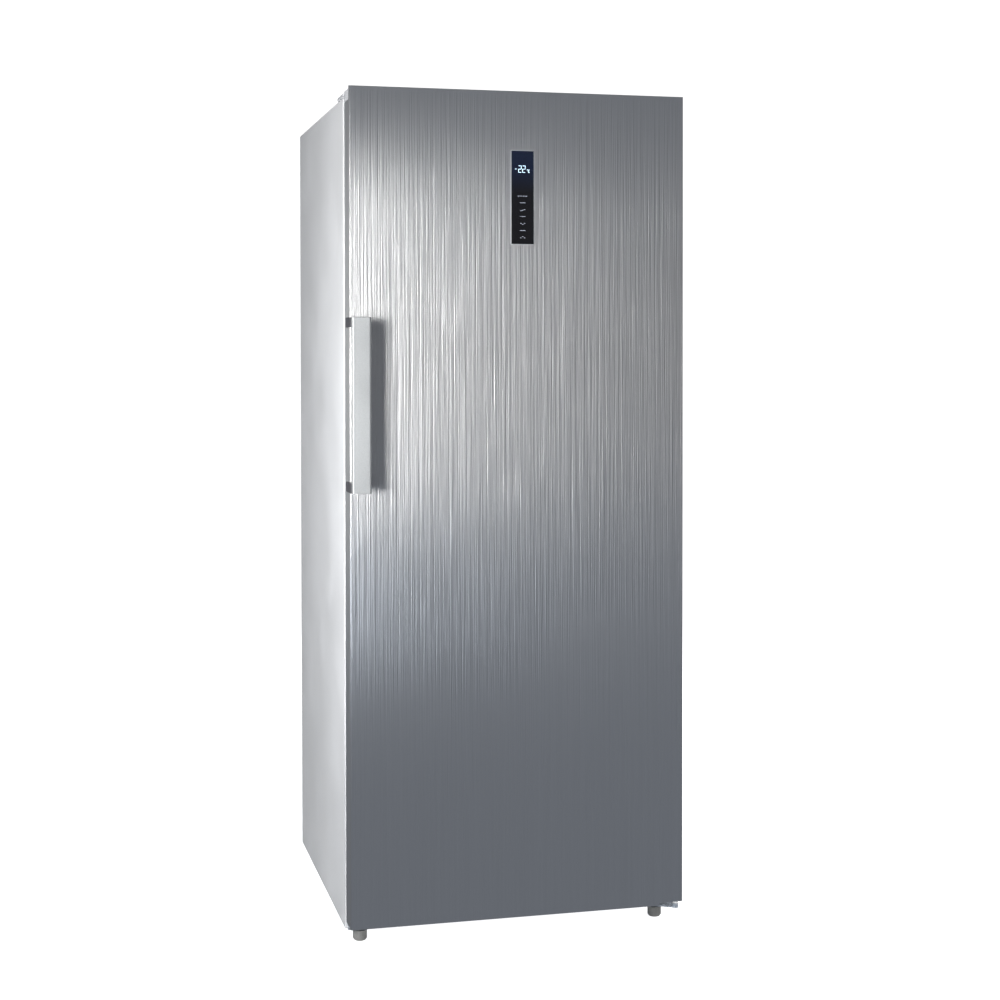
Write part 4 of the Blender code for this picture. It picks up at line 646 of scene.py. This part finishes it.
def make_door_front(sizes):
    """The steel sheet of the door: front, both sides and the folds behind."""
    obj = block("door_front", SKIN_LOW, SKIN_HIGH)
    open_faces(obj, (0, 1, 0), (0, 0, 1), (0, 0, -1))
    rear = SKIN_HIGH.y
    pick(obj, "EDGE", lambda e: runs("z")(e) and middle(e).y > rear - DOOR_SHEET)
    bpy.ops.mesh.extrude_edges_move()
    bpy.ops.transform.resize(
        value=(1 - FOLD_WIDTH / SKIN_HIGH.x, 1, 1), center_override=(0, rear, 0)
    )
    leave_edit()
    round_edges(obj, sizes.corner_radius, 5, lambda e: runs("z")(e) and len(e.link_faces) == 2)
    wall(obj, DOOR_SHEET)
    grow = Vector((CLEAR, 0.05, CLEAR))
    window = block("window_cut", HOUSING_LOW - grow, HOUSING_HIGH + grow)
    cap = block(
        "cap_cut",
        (-1, SKIN_LOW.y + CORNER_KEPT, CAP_LOW.z - CLEAR),
        (1, 0, SKIN_HIGH.z + BEYOND),
    )
    notch = block(
        "notch_cut",
        (SKIN_HIGH.x - NOTCH_WIDTH, SKIN_LOW.y - BEYOND, SKIN_LOW.z - BEYOND),
        (SKIN_HIGH.x + BEYOND, 0, SKIN_LOW.z + NOTCH_HEIGHT),
    )
    cut_out(obj, window, cap, notch)
    place(obj, "door", "brushed_steel", ["door_skin"])


HANDLE_RIGHT_RADIUS = 0.0045
HANDLE_LEFT_RADIUS = 0.0025
HANDLE_END_RADIUS = 0.0012


def make_handle():
    """A crowned bar with softened ends, on its two arms."""
    obj = block("handle_grip", BAR_LOW, BAR_HIGH)

    def front_edge(edge):
        return runs("z")(edge) and middle(edge).y < BAR_LOW.y + 0.001

    round_edges(
        obj, HANDLE_RIGHT_RADIUS, 6, lambda e: front_edge(e) and middle(e).x > BAR_LOW.x + 0.01
    )
    round_edges(
        obj, HANDLE_LEFT_RADIUS, 5, lambda e: front_edge(e) and middle(e).x < BAR_LOW.x + 0.005
    )
    round_edges(obj, HANDLE_END_RADIUS, 3, lambda e: not runs("z")(e))
    place(obj, "door", "satin_aluminium", ["handle_bar"])
    for end in ("top", "bottom"):
        softened(f"handle_arm_{end}", "dark_plastic", 0.0016, 3)


SEGMENTS = {"2": "abged", "-": "g"}
DIGIT_HEIGHT = 0.0142
DIGIT_WIDTH = 0.0066
MINUS_WIDTH = 0.0042
STROKE = 0.0008
DIGIT_DROP = 0.044  # digits' foot below the window's top
GLASS_LAP = 0.0008  # glass over the frame's inner edge
MARK_PROUD = 0.00012


def segment_boxes(character, origin, width, height, thick):
    """Corners of the bars of one seven-segment character, in x and z."""
    x, z = origin
    half = height / 2
    gap = thick * 0.18
    end = thick * 0.6
    across = {"a": z + height - thick, "g": z + half - thick / 2, "d": z}
    upright = {"b": (x + width - thick, z + half), "e": (x, z)}
    boxes = []
    for segment in SEGMENTS[character]:
        if segment in across:
            low = across[segment]
            boxes.append(((x + end, low), (x + width - end, low + thick)))
        else:
            bar_x, low = upright[segment]
            boxes.append(((bar_x, low + thick * 0.5 + gap), (bar_x + thick, low + half - gap)))
    return boxes


def unit_boxes(x, z):
    """Corners of a small dot and an open letter-like bracket, in x and z."""
    return [
        ((x, z + 0.0050), (x + 0.0016, z + 0.0066)),
        ((x + 0.0024, z), (x + 0.0032, z + 0.0060)),
        ((x + 0.0032, z + 0.0053), (x + 0.0058, z + 0.0060)),
        ((x + 0.0032, z), (x + 0.0058, z + 0.0007)),
    ]


def mark_boxes(centre, top):
    """Corners of the touch marks: a row of dashes, then bars with stepped marks between."""
    boxes = []

    def mark(x, drop, wide, high):
        low, z = centre + x, top - drop
        boxes.append(((low, z - high / 2), (low + wide, z + high / 2)))

    for number in range(4):
        mark(-0.0105 + number * 0.0054, 0.0924, 0.0038, 0.0012)
    for drop in (0.1060, 0.1343, 0.1632):
        mark(-0.0058, drop, 0.0116, 0.0009)
    for drop, steps in ((0.1213, (1, 0, -1)), (0.1495, (-1, 1, -1)), (0.1770, (1, -1, 1))):
        for number, step in enumerate(steps):
            mark(-0.0052 + number * 0.0038, drop + step * 0.0012, 0.0030, 0.0010)
    return boxes


def make_display():
    """The glass in its frame, with its lit reading and its touch marks."""
    softened("display_housing", "silver_trim", 0.0003)
    lap = Vector((GLASS_LAP, 0.0, GLASS_LAP))
    cover = Vector((0.0, WINDOW_LOW.y - HOUSING_LOW.y + 0.0002, 0.0))
    glass = block("display_glass", WINDOW_LOW - lap - cover, WINDOW_HIGH + lap)
    round_edges(glass, 0.0006, 3)
    place(glass, "door", "display_glass", ["display_window"])
    face = WINDOW_LOW.y - cover.y

    def bars(name, boxes, finish):
        made = []
        for (x_low, z_low), (x_high, z_high) in boxes:
            short = min(x_high - x_low, z_high - z_low)
            low, high = (x_low, face - MARK_PROUD, z_low), (x_high, face + LIFT, z_high)
            made.append(bar(name, low, high, short * 0.28, 2, runs("y")))
        place(merge(name, made), "door", finish)

    left, top = WINDOW_LOW.x, WINDOW_HIGH.z
    digit_z = top - DIGIT_DROP
    boxes = []
    for character, x in (("-", 0.0066), ("2", 0.0142), ("2", 0.0226)):
        width = MINUS_WIDTH if character == "-" else DIGIT_WIDTH
        boxes += segment_boxes(character, (left + x, digit_z), width, DIGIT_HEIGHT, STROKE)
    bars("display_reading", boxes, "lit_digits")
    bars("display_unit", unit_boxes(left + 0.0326, digit_z), "lit_digits")
    centre = (WINDOW_LOW.x + WINDOW_HIGH.x) / 2
    # The marks are print with a faint painted glow.
    bars("display_marks", mark_boxes(centre, top), "print_with_painted_glow")
    softened("display_board", "circuit_board", 0.0)


def make_shell():
    """The painted wrap of the cabinet, its rear sheet and its galvanised floor."""
    softened("cabinet_wrap", "silver_paint", 0.0003)
    softened("back_panel", "galvanised", 0.0)
    softened("base_pan", "galvanised", 0.0004)
    softened("cabinet_foam", "foam", 0.0)


RIB_PLACES = (-0.22, 0.0, 0.22)
RIB_HALF = 0.012
RIB_FOOT = 0.10  # rib's foot above the machine cover
RIB_HEAD = 0.12  # rib's head below the cabinet's top
SCREW_EDGE = 0.014  # screws inside the sheet's edge
SCREW_LEVELS = 6
SPACER_X = 0.27
SPACER_DROP = 0.07
SPACER_PAD = 0.02
SPACER_PAD_DEPTH = 0.003
SPACER_STEM = 0.011


def make_back_details(sizes):
    """Pressed ribs, fixing screws and wall spacers on the rear sheet."""
    rear = BACK_HIGH.y
    low, high = COVER_HIGH.z, BACK_HIGH.z
    proud = sizes.rib_height
    ribs = []
    for x in RIB_PLACES:
        rib = block(
            "rib",
            (x - RIB_HALF, rear - 0.0004, low + RIB_FOOT),
            (x + RIB_HALF, rear, high - RIB_HEAD),
        )
        push_out(rib, (0, 1, 0), (0, proud, 0))
        bpy.ops.transform.resize(value=(0.5, 1, 0.985))
        leave_edit()
        ribs.append(round_edges(rib, 0.0012, 3, lambda e: middle(e).y > rear + proud / 2))
    place(merge("back_ribs", ribs), "cabinet", "galvanised")
    edge = BACK_HIGH.x - SCREW_EDGE
    step = (high - low - 0.05) / (SCREW_LEVELS - 1)
    levels = [low + 0.03 + number * step for number in range(SCREW_LEVELS)]
    points = [(side * edge, rear, z) for side in (-1, 1) for z in levels]
    points += [(x, rear, high - 0.02) for x in (-0.2, 0.0, 0.2)]
    fasten("back_screws", "screw", points, "+y", "cabinet", "zinc")
    for side, label in ((-1, "left"), (1, "right")):
        name = f"{label}_wall_spacer"
        x, z = side * SPACER_X, high - SPACER_DROP
        end = rear + sizes.spacer_depth
        pad = bar(
            name,
            (x - SPACER_PAD, rear, z - SPACER_PAD),
            (x + SPACER_PAD, rear + SPACER_PAD_DEPTH, z + SPACER_PAD),
            0.001,
        )
        stem = bar(
            "spacer_stem",
            (x - SPACER_STEM, rear + 0.002, z - SPACER_STEM),
            (x + SPACER_STEM, end, z + SPACER_STEM),
            0.002,
        )
        place(merge(name, [pad, stem]), "cabinet", "dark_plastic")


def make_top():
    """The trim along the cabinet's front top edge, and the covered upper hinge."""
    softened("top_trim", "grey_plastic", 0.0008, 3)
    softened("hinge_cover", "grey_plastic", 0.0005)
    for node in ("upper_hinge_bracket", "upper_hinge_pin"):
        softened(node, "zinc", 0.0004)
    low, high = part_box("hinge_cover")
    x, y, _ = (low + high) / 2
    seat = rod("cover_screw_seat", (x, y, high.z + 0.0004), "z", 0.0055, 0.0012, 32)
    round_edges(seat, 0.0004, 2, lambda e: middle(e).z > high.z + 0.0008)
    place(seat, "cabinet", "grey_plastic")
    fasten("cover_screw", "screw", [(x, y, high.z + 0.001)], "+z", "cabinet", "zinc")
    low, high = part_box("top_trim")
    points = [(x, (low.y + high.y) / 2, high.z) for x in (-0.3, -0.1, 0.1)]
    fasten("trim_screws", "screw", points, "+z", "cabinet", "zinc")


def make_lower_hinge():
    """The zinc-plated brackets under the cabinet with their bolts."""
    for node in ("lower_hinge_bracket", "lower_hinge_pin", "left_foot_bracket"):
        softened(node, "zinc", 0.0004)
    face = SEAL_HIGH.y - 0.0026
    for node, label, side in (
        ("lower_hinge_bracket", "right", 1),
        ("left_foot_bracket", "left", -1),
    ):
        low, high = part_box(node)
        points = [(side * x, face, (low.z + high.z) / 2) for x in (0.268, 0.300)]
        fasten(f"{label}_bracket_bolts", "bolt", points, "-y", "cabinet", "black_enamel")


RAIL_DROP = 0.004  # bin's rail below its rim
RAIL_HEIGHT = 0.020
RAIL_DEPTH = 0.003
RAIL_INSET = 0.006


def make_door_inside():
    """The door's caps, liner, seal, bushes and bins."""
    softened("door_cap_top", "grey_plastic", 0.0006)
    softened("door_cap_bottom", "grey_plastic", 0.0006)
    softened("door_liner", "white_liner", 0.0012)
    softened("door_foam", "foam", 0.0)
    make_seal()
    softened("lower_hinge_bush", "white_liner", 0.0002)
    softened("upper_hinge_bush", "white_liner", 0.0002)
    for number in range(1, 5):
        softened(f"door_bin_{number}", "clear_plastic", 0.0006)
        low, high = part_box(f"door_bin_{number}")
        rail = bar(
            f"door_bin_rail_{number}",
            (low.x + RAIL_INSET, high.y + LIFT, high.z - RAIL_DROP - RAIL_HEIGHT),
            (high.x - RAIL_INSET, high.y + LIFT + RAIL_DEPTH, high.z - RAIL_DROP),
            0.0013,
            4,
        )
        place(rail, "door", "bright_aluminium")


def make_seal():
    """The seal's bellows: a groove round its outside and one round its inside."""
    seal = welded("door_seal")
    bpy.ops.mesh.dissolve_limited(angle_limit=FLAT)
    leave_edit()
    if seal.data.has_custom_normals:
        bpy.ops.mesh.customdata_custom_splitnormals_clear()
    pick(seal, "FACE", lambda face: abs(face.normal.y) < 0.1)
    bpy.ops.mesh.inset(thickness=0.0035, depth=0)
    bpy.ops.mesh.inset(thickness=0.0012, depth=-0.0035)
    leave_edit()
    place(seal, "door", "rubber", ["door_seal"])


def make_cold_space():
    """The liner, the air duct, the shelves, the lamp and the slide-out bin."""
    softened("cabinet_liner", "white_liner", 0.0012)
    softened("air_duct_panel", "white_liner", 0.0004)
    make_fan_ring()
    make_louvres()
    make_shelf_trims()
    make_lamp_details()
    make_bin_front()
    softened("evaporator_coil", "coil_aluminium", 0.0)
    softened("evaporator_fan_rotor", "dark_plastic", 0.0003)
    softened("lamp_lens", "clear_plastic", 0.0)
    softened("slide_out_bin", "clear_plastic", 0.0008)
    for number in range(1, 5):
        softened(f"shelf_frame_{number}", "white_liner", 0.001)
        softened(f"shelf_glass_{number}", "shelf_glass", 0.0)


RING_RADIUS = 0.068
RING_BORE = 0.060
RING_DEPTH = 0.003


def make_fan_ring():
    """A rounded ring round the fan's opening."""
    face = DUCT_LOW.y
    centre = (0, face - RING_DEPTH / 2, FAN_CENTRE.z)
    ring = rod("fan_ring", centre, "y", RING_RADIUS, RING_DEPTH, 48)
    cut_out(ring, rod("ring_bore", centre, "y", RING_BORE, 0.01, 48))
    round_edges(ring, 0.0009, 3, lambda e: middle(e).y < face - RING_DEPTH + LIFT)
    place(ring, "cabinet", "white_liner")


HOOD_HALF = 0.062
HOOD_X = 0.16
HOOD_SLOPE = (0, -0.003, -0.006)
HOOD_RISE = 0.008  # hood above its air slot
SLOT_PLACE = 0.72  # air slot between two shelves, as a part of their pitch


def make_louvres():
    """A sloping hood over each air slot."""
    face = DUCT_LOW.y
    first = [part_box(f"shelf_frame_{number}")[0].z for number in (1, 2, 3, 4)]
    pitch = first[1] - first[0]
    hoods = []
    for level in first[:-1]:
        z = level + pitch * SLOT_PLACE + HOOD_RISE
        for x in (-HOOD_X, HOOD_X):
            hood = block(
                "hood", (x - HOOD_HALF, face - 0.004, z - 0.001), (x + HOOD_HALF, face, z + 0.003)
            )
            push_out(hood, (0, -1, 0), HOOD_SLOPE)
            leave_edit()
            hoods.append(round_edges(hood, 0.0008, 2))
    place(merge("duct_louvres", hoods), "cabinet", "white_liner")


def make_shelf_trims():
    """A bright trim along each shelf's front."""
    for number in range(1, 5):
        low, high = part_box(f"shelf_frame_{number}")
        trim = bar(
            f"shelf_trim_{number}",
            (low.x + 0.004, low.y - 0.0032, low.z + 0.001),
            (high.x - 0.004, low.y - LIFT, high.z - 0.001),
            0.0014,
            4,
        )
        place(trim, "cabinet", "bright_aluminium")


LAMP_RIBS = 12
LAMP_MARGIN = 0.006


def make_lamp_details():
    """Round ribs across the lamp's lens, and a rim round it."""
    low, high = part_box("lamp_lens")
    y, length = (low.y + high.y) / 2, high.y - low.y - 2 * LAMP_MARGIN
    step = (high.x - low.x - 2 * LAMP_MARGIN) / LAMP_RIBS
    ribs = []
    for number in range(LAMP_RIBS):
        x = low.x + LAMP_MARGIN + step * (number + 0.5)
        rib = rod("rib", (x, y, low.z + 0.0002), "y", step * 0.42, length, 16)
        ribs.append(round_edges(rib, step * 0.12, 2))
    place(merge("lamp_ribs", ribs), "cabinet", "clear_plastic")
    rim = block(
        "lamp_rim",
        (low.x - LAMP_MARGIN, low.y - LAMP_MARGIN, high.z - 0.004),
        (high.x + LAMP_MARGIN, high.y + LAMP_MARGIN, high.z),
    )
    grow = Vector((CLEAR, CLEAR, 0.01))
    cut_out(rim, block("rim_cut", low - grow, high + grow))
    round_edges(rim, 0.001, 3, lambda e: middle(e).z < high.z - 0.003)
    place(rim, "cabinet", "white_liner")


def make_bin_front():
    """A recessed panel on the slide-out bin's front."""
    low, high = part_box("slide_out_bin")
    panel = block(
        "bin_front_panel",
        (low.x + 0.05, low.y - 0.0018, low.z + 0.03),
        (high.x - 0.05, low.y - LIFT, high.z - 0.05),
    )
    inset(panel, faces_to((0, -1, 0)), 0.006, -0.0012)
    round_edges(panel, 0.0005, 2, lambda e: middle(e).y < low.y - 0.0012)
    place(panel, "frozen_food_bin", "clear_plastic")


COVER_SCREW_EDGE = 0.012


def make_machinery():
    """The machine cover with its screws, and what stands behind it."""
    softened("machine_cover", "galvanised", 0.0002)
    edge = COVER_HIGH.x - COVER_SCREW_EDGE
    low, high = COVER_LOW.z + COVER_SCREW_EDGE, COVER_HIGH.z - COVER_SCREW_EDGE
    levels = [low, (COVER_LOW.z + COVER_HIGH.z) / 2, high]
    points = [(side * edge, COVER_HIGH.y, z) for side in (-1, 1) for z in levels]
    points += [(x, COVER_HIGH.y, high) for x in (-0.17, 0.17)]
    fasten("cover_screws", "screw", points, "+y", "cabinet", "zinc")
    softened("cord_gland", "dark_plastic", 0.0004)
    softened("compressor", "black_enamel", 0.0006)
    softened("relay_cover", "dark_plastic", 0.0006)
    softened("condenser_coil", "black_enamel", 0.0)
    softened("condenser_fan_shroud", "dark_plastic", 0.0004)
    softened("condenser_fan_rotor", "dark_plastic", 0.0003)
    softened("drain_tray", "dark_plastic", 0.0006)
    softened("control_box", "dark_plastic", 0.0006)


def make_supports():
    """The front feet and the rear rollers."""
    for side in ("left", "right"):
        softened(f"{side}_front_foot", "foot_plastic", 0.0002)
        softened(f"{side}_rear_roller", "dark_plastic", 0.0004)
        softened(f"{side}_roller_axle", "zinc", 0.0003)
        softened(f"{side}_roller_bracket", "zinc", 0.0004)


# ---- Stage ---------------------------------------------------------------

CAMERA_PLACE = (-0.9203, -3.8713, 1.2233)
CAMERA_TURN = (90 - 1.09, 0.06, -13.97)  # degrees about x, y and z
CAMERA_LENS = 63.58
CAMERA_SENSOR = 36.0
CAMERA_SHIFT = -0.1152


def make_camera():
    data = bpy.data.cameras.new("camera")
    camera = bpy.data.objects.new("camera", data)
    bpy.context.scene.collection.objects.link(camera)
    camera.location = CAMERA_PLACE
    camera.rotation_euler = [math.radians(turn) for turn in CAMERA_TURN]
    data.lens = CAMERA_LENS
    data.sensor_width = CAMERA_SENSOR
    data.shift_y = CAMERA_SHIFT
    bpy.context.scene.camera = camera


def make_floor():
    """A pale floor that glows a little, so that it meets the white walls without a line."""
    bpy.ops.object.select_all(action="DESELECT")
    bpy.ops.mesh.primitive_plane_add(size=40)
    floor = bpy.context.object
    floor.name = "studio_floor"
    tree, shader, where = new_material("studio_floor")
    skin = use_group(tree, "skin", where, {"Grain Scale": 40.0})
    tone = blend_colours(tree, skin["Smear"], (0.93, 0.93, 0.93), (0.95, 0.95, 0.95))
    path = add_node(tree, "ShaderNodeLightPath").outputs
    glow = between(tree, path["Is Camera Ray"], 0.25, 1.0)
    fill(tree, shader, {"Base Color": tone, "Emission Color": tone, "Emission Strength": glow})
    fill(tree, shader, {"Roughness": 0.9, "Specular IOR Level": 0.1})
    floor.data.materials.append(FINISH["studio_floor"])
    floor.visible_glossy = False


BAND_LOWER_EDGE = (-0.11, -0.02)  # slopes of the view, where the band fades in
BAND_UPPER_EDGE = (0.13, 0.04)
REAR_FADE = (-0.3, 0.7)
WALL_TONE = (1.1, 1.1, 1.1)


def fade(tree, value, far, near):
    """Rises softly from 0 at the far value to 1 at the near one."""
    return add_node(
        tree,
        "ShaderNodeMapRange",
        {"Value": value, 1: far, 2: near},
        interpolation_type="SMOOTHSTEP",
    ).outputs[0]


def make_surroundings(studio):
    """White walls to the eye, with dimmer ones for polished faces to mirror."""
    world = bpy.data.worlds.new("studio")
    bpy.context.scene.world = world
    world.use_nodes = True
    tree = world.node_tree
    tree.nodes.clear()
    where = add_node(tree, "ShaderNodeTexCoord").outputs["Generated"]
    parts = add_node(tree, "ShaderNodeSeparateXYZ", {0: where}).outputs
    behind = fade(tree, parts["Y"], *REAR_FADE)
    edges = [fade(tree, parts["Z"], *edge) for edge in (BAND_LOWER_EDGE, BAND_UPPER_EDGE)]
    band = math_node(tree, "MULTIPLY", *edges)
    front = blend_colours(tree, band, studio.front_tone, studio.card_tone)
    mirrored = blend_colours(tree, behind, front, studio.rear_tone)
    path = add_node(tree, "ShaderNodeLightPath").outputs
    seen = blend_colours(tree, path["Is Glossy Ray"], studio.fill_tone, mirrored)
    shown = blend_colours(tree, path["Is Camera Ray"], seen, WALL_TONE)
    background = add_node(tree, "ShaderNodeBackground", {"Color": shown, "Strength": 1.0})
    output = add_node(tree, "ShaderNodeOutputWorld")
    tree.links.new(background.outputs[0], output.inputs[0])


def make_light(name, location, target, size, power, mirrored=None):
    """An area light. Polished faces mirror it only if it has a colour of its own."""
    data = bpy.data.lights.new(name, "AREA")
    data.shape = "RECTANGLE"
    data.size, data.size_y = size
    data.energy = power
    data.color = mirrored or (1.0, 1.0, 1.0)
    light = bpy.data.objects.new(name, data)
    bpy.context.scene.collection.objects.link(light)
    light.location = location
    aim = Vector(target) - Vector(location)
    light.rotation_euler = aim.to_track_quat("-Z", "Y").to_euler()
    light.visible_camera = False
    light.visible_glossy = mirrored is not None


BODY_CENTRE = (0.0, 0.0, 0.9)
SOFTBOX_X, SOFTBOX_Y = -0.98, -1.14
SOFTBOX_WIDTH = 0.30
DOOR_LIGHT_COLOUR = (1.0, 0.985, 0.96)
LOW_LIGHT_COLOUR = (0.86, 0.92, 1.0)


def make_studio(studio):
    """The camera, the floor, the walls and the lights."""
    make_camera()
    make_floor()
    make_surroundings(studio)
    make_light("top_softbox", (0.0, -0.6, 3.6), BODY_CENTRE, (3.0, 3.0), studio.top_power)
    for name, z, aim_z, height, power, colour in (
        ("door_softbox", 1.24, 1.2, 0.90, studio.door_power, DOOR_LIGHT_COLOUR),
        ("low_softbox", 0.60, 0.6, 0.38, studio.low_power, LOW_LIGHT_COLOUR),
    ):
        spot, target = (SOFTBOX_X, SOFTBOX_Y, z), (-0.35, -0.34, aim_z)
        make_light(name, spot, target, (SOFTBOX_WIDTH, height), power, colour)
    make_light(
        "side_strip", (-0.95, -0.75, 1.0), (-0.35, -0.2, 1.0), (0.2, 1.0), studio.side_power
    )
    for name, spot, size in (
        ("front_fill", (0.6, -3.4, 1.7), (1.6, 1.6)),
        ("right_fill", (3.0, 0.6, 1.5), (1.2, 1.8)),
        ("rear_fill", (-0.6, 3.4, 1.5), (1.6, 1.8)),
    ):
        make_light(name, spot, BODY_CENTRE, size, studio.fill_power)
    bpy.context.scene.view_settings.view_transform = "Standard"


# ---- Add-on --------------------------------------------------------------


def length_prop(name, description, default, least):
    return FloatProperty(
        name=name, description=description, default=default, min=least, unit="LENGTH"
    )


def power_prop(name, description, default):
    return FloatProperty(
        name=name, description=description, default=default, min=0.0, unit="POWER"
    )


def tone_prop(name, description, default, most=1.0):
    return FloatVectorProperty(
        name=name, description=description, default=default, subtype="COLOR", min=0.0, max=most
    )


class FreezerSizes(bpy.types.PropertyGroup):
    """Sizes that shape the visible pieces"""

    corner_radius: length_prop(
        "Door corner radius", "Radius of the fold at each side of the door's front", 0.003, 0.001
    )
    screw_radius: length_prop(
        "Screw radius", "Radius of the heads of the sheet screws", 0.0038, 0.002
    )
    bolt_radius: length_prop(
        "Bolt radius", "Corner radius of the hexagon bolts under the cabinet", 0.0058, 0.003
    )
    rib_height: length_prop(
        "Rear rib height", "How far the ribs stand out of the rear sheet", 0.0025, 0.001
    )
    spacer_depth: length_prop(
        "Wall spacer depth", "Depth of the spacers that keep the back off the wall", 0.012, 0.006
    )


class FreezerColours(bpy.types.PropertyGroup):
    """Colours of the main finishes"""

    steel: tone_prop("Steel", "Mirror colour of the brushed door", (0.60, 0.605, 0.615))
    paint: tone_prop("Side paint", "Silver paint of the cabinet", (0.54, 0.55, 0.565))
    liner: tone_prop("Liner", "White plastic of the inside", (0.66, 0.67, 0.67))
    trim: tone_prop("Trim", "Grey plastic of the caps and the top trim", (0.42, 0.43, 0.45))


class FreezerStudio(bpy.types.PropertyGroup):
    """Light levels of the studio"""

    top_power: power_prop("Top light", "Power of the softbox overhead", 60.0)
    door_power: power_prop("Door light", "Power of the softbox that the door mirrors", 17.0)
    low_power: power_prop("Low door light", "Power of the dimmer softbox under the door's", 2.4)
    side_power: power_prop("Side light", "Power of the strip beside the cabinet", 8.5)
    fill_power: power_prop(
        "Fill lights", "Power of each of the lights in front, behind and at the right", 45.0
    )
    card_tone: tone_prop(
        "Bright band",
        "Tone of the level band that the door mirrors at eye height",
        (0.19, 0.19, 0.195),
        4.0,
    )
    fill_tone: tone_prop(
        "Fill",
        "Tone of the white walls that light the freezer from all round",
        (0.12, 0.12, 0.125),
        4.0,
    )
    front_tone: tone_prop(
        "Front surroundings",
        "Tone that the door mirrors round the window",
        (0.222, 0.240, 0.272),
        4.0,
    )
    rear_tone: tone_prop(
        "Rear surroundings", "Tone that the sides and the back mirror", (0.19, 0.20, 0.215), 4.0
    )


class FREEZER_OT_finishes(bpy.types.Operator):
    """Build the shared shader groups and every finish"""

    bl_idname = "freezer.finishes"
    bl_label = "Finishes"

    def execute(self, context):
        make_finishes(context.scene.freezer_colours)
        return {"FINISHED"}


class FREEZER_OT_door_front(bpy.types.Operator):
    """Model the brushed steel front of the door"""

    bl_idname = "freezer.door_front"
    bl_label = "Door front"

    def execute(self, context):
        make_door_front(context.scene.freezer_sizes)
        return {"FINISHED"}


class FREEZER_OT_handle(bpy.types.Operator):
    """Model the bar handle and its arms"""

    bl_idname = "freezer.handle"
    bl_label = "Handle"

    def execute(self, context):
        make_handle()
        return {"FINISHED"}


class FREEZER_OT_display(bpy.types.Operator):
    """Model the display with its reading and touch marks"""

    bl_idname = "freezer.display"
    bl_label = "Display"

    def execute(self, context):
        make_display()
        return {"FINISHED"}


class FREEZER_OT_shell(bpy.types.Operator):
    """Model the outer sheets of the cabinet"""

    bl_idname = "freezer.shell"
    bl_label = "Cabinet shell"

    def execute(self, context):
        sizes = context.scene.freezer_sizes
        SCREW_HEADS["screw"] = screw_head(sizes)
        SCREW_HEADS["bolt"] = bolt_head(sizes)
        make_shell()
        make_back_details(sizes)
        make_top()
        return {"FINISHED"}


class FREEZER_OT_hinges(bpy.types.Operator):
    """Model the hinge parts and brackets"""

    bl_idname = "freezer.hinges"
    bl_label = "Hinges"

    def execute(self, context):
        make_lower_hinge()
        return {"FINISHED"}


class FREEZER_OT_door_inside(bpy.types.Operator):
    """Model the inside of the door with its seal and bins"""

    bl_idname = "freezer.door_inside"
    bl_label = "Door inside"

    def execute(self, context):
        make_door_inside()
        return {"FINISHED"}


class FREEZER_OT_cold_space(bpy.types.Operator):
    """Model the liner, the shelves and what is fixed inside"""

    bl_idname = "freezer.cold_space"
    bl_label = "Cold space"

    def execute(self, context):
        make_cold_space()
        return {"FINISHED"}


class FREEZER_OT_machinery(bpy.types.Operator):
    """Model the machine space and its cover"""

    bl_idname = "freezer.machinery"
    bl_label = "Machinery"

    def execute(self, context):
        make_machinery()
        for head in SCREW_HEADS.values():
            bpy.data.objects.remove(head)
        return {"FINISHED"}


class FREEZER_OT_supports(bpy.types.Operator):
    """Model the feet and the rollers"""

    bl_idname = "freezer.supports"
    bl_label = "Feet and rollers"

    def execute(self, context):
        make_supports()
        return {"FINISHED"}


class FREEZER_OT_studio(bpy.types.Operator):
    """Set up the camera, the floor and the lights"""

    bl_idname = "freezer.studio"
    bl_label = "Studio"

    def execute(self, context):
        make_studio(context.scene.freezer_studio)
        return {"FINISHED"}


PIECE_OPERATORS = (
    FREEZER_OT_finishes,
    FREEZER_OT_door_front,
    FREEZER_OT_handle,
    FREEZER_OT_display,
    FREEZER_OT_shell,
    FREEZER_OT_hinges,
    FREEZER_OT_door_inside,
    FREEZER_OT_cold_space,
    FREEZER_OT_machinery,
    FREEZER_OT_supports,
    FREEZER_OT_studio,
)


class FREEZER_PT_panel(bpy.types.Panel):
    """Lists the freezer's settings and the steps that build it"""

    bl_idname = "FREEZER_PT_panel"
    bl_label = "Upright Freezer"
    bl_space_type = "VIEW_3D"
    bl_region_type = "UI"
    bl_category = "Freezer"

    def draw(self, context):
        scene = context.scene
        for settings in (scene.freezer_sizes, scene.freezer_colours, scene.freezer_studio):
            for name in settings.bl_rna.properties.keys():
                if name not in {"rna_type", "name"}:
                    self.layout.prop(settings, name)
        for operator in PIECE_OPERATORS:
            self.layout.operator(operator.bl_idname)


CLASSES = (FreezerSizes, FreezerColours, FreezerStudio, *PIECE_OPERATORS, FREEZER_PT_panel)


def register():
    for each in CLASSES:
        bpy.utils.register_class(each)
    bpy.types.Scene.freezer_sizes = PointerProperty(type=FreezerSizes)
    bpy.types.Scene.freezer_colours = PointerProperty(type=FreezerColours)
    bpy.types.Scene.freezer_studio = PointerProperty(type=FreezerStudio)


def unregister():
    del bpy.types.Scene.freezer_studio
    del bpy.types.Scene.freezer_colours
    del bpy.types.Scene.freezer_sizes
    for each in reversed(CLASSES):
        bpy.utils.unregister_class(each)


def main():
    register()
    for operator in PIECE_OPERATORS:
        group, name = operator.bl_idname.split(".")
        getattr(getattr(bpy.ops, group), name)()


if __name__ == "__main__":
    main()
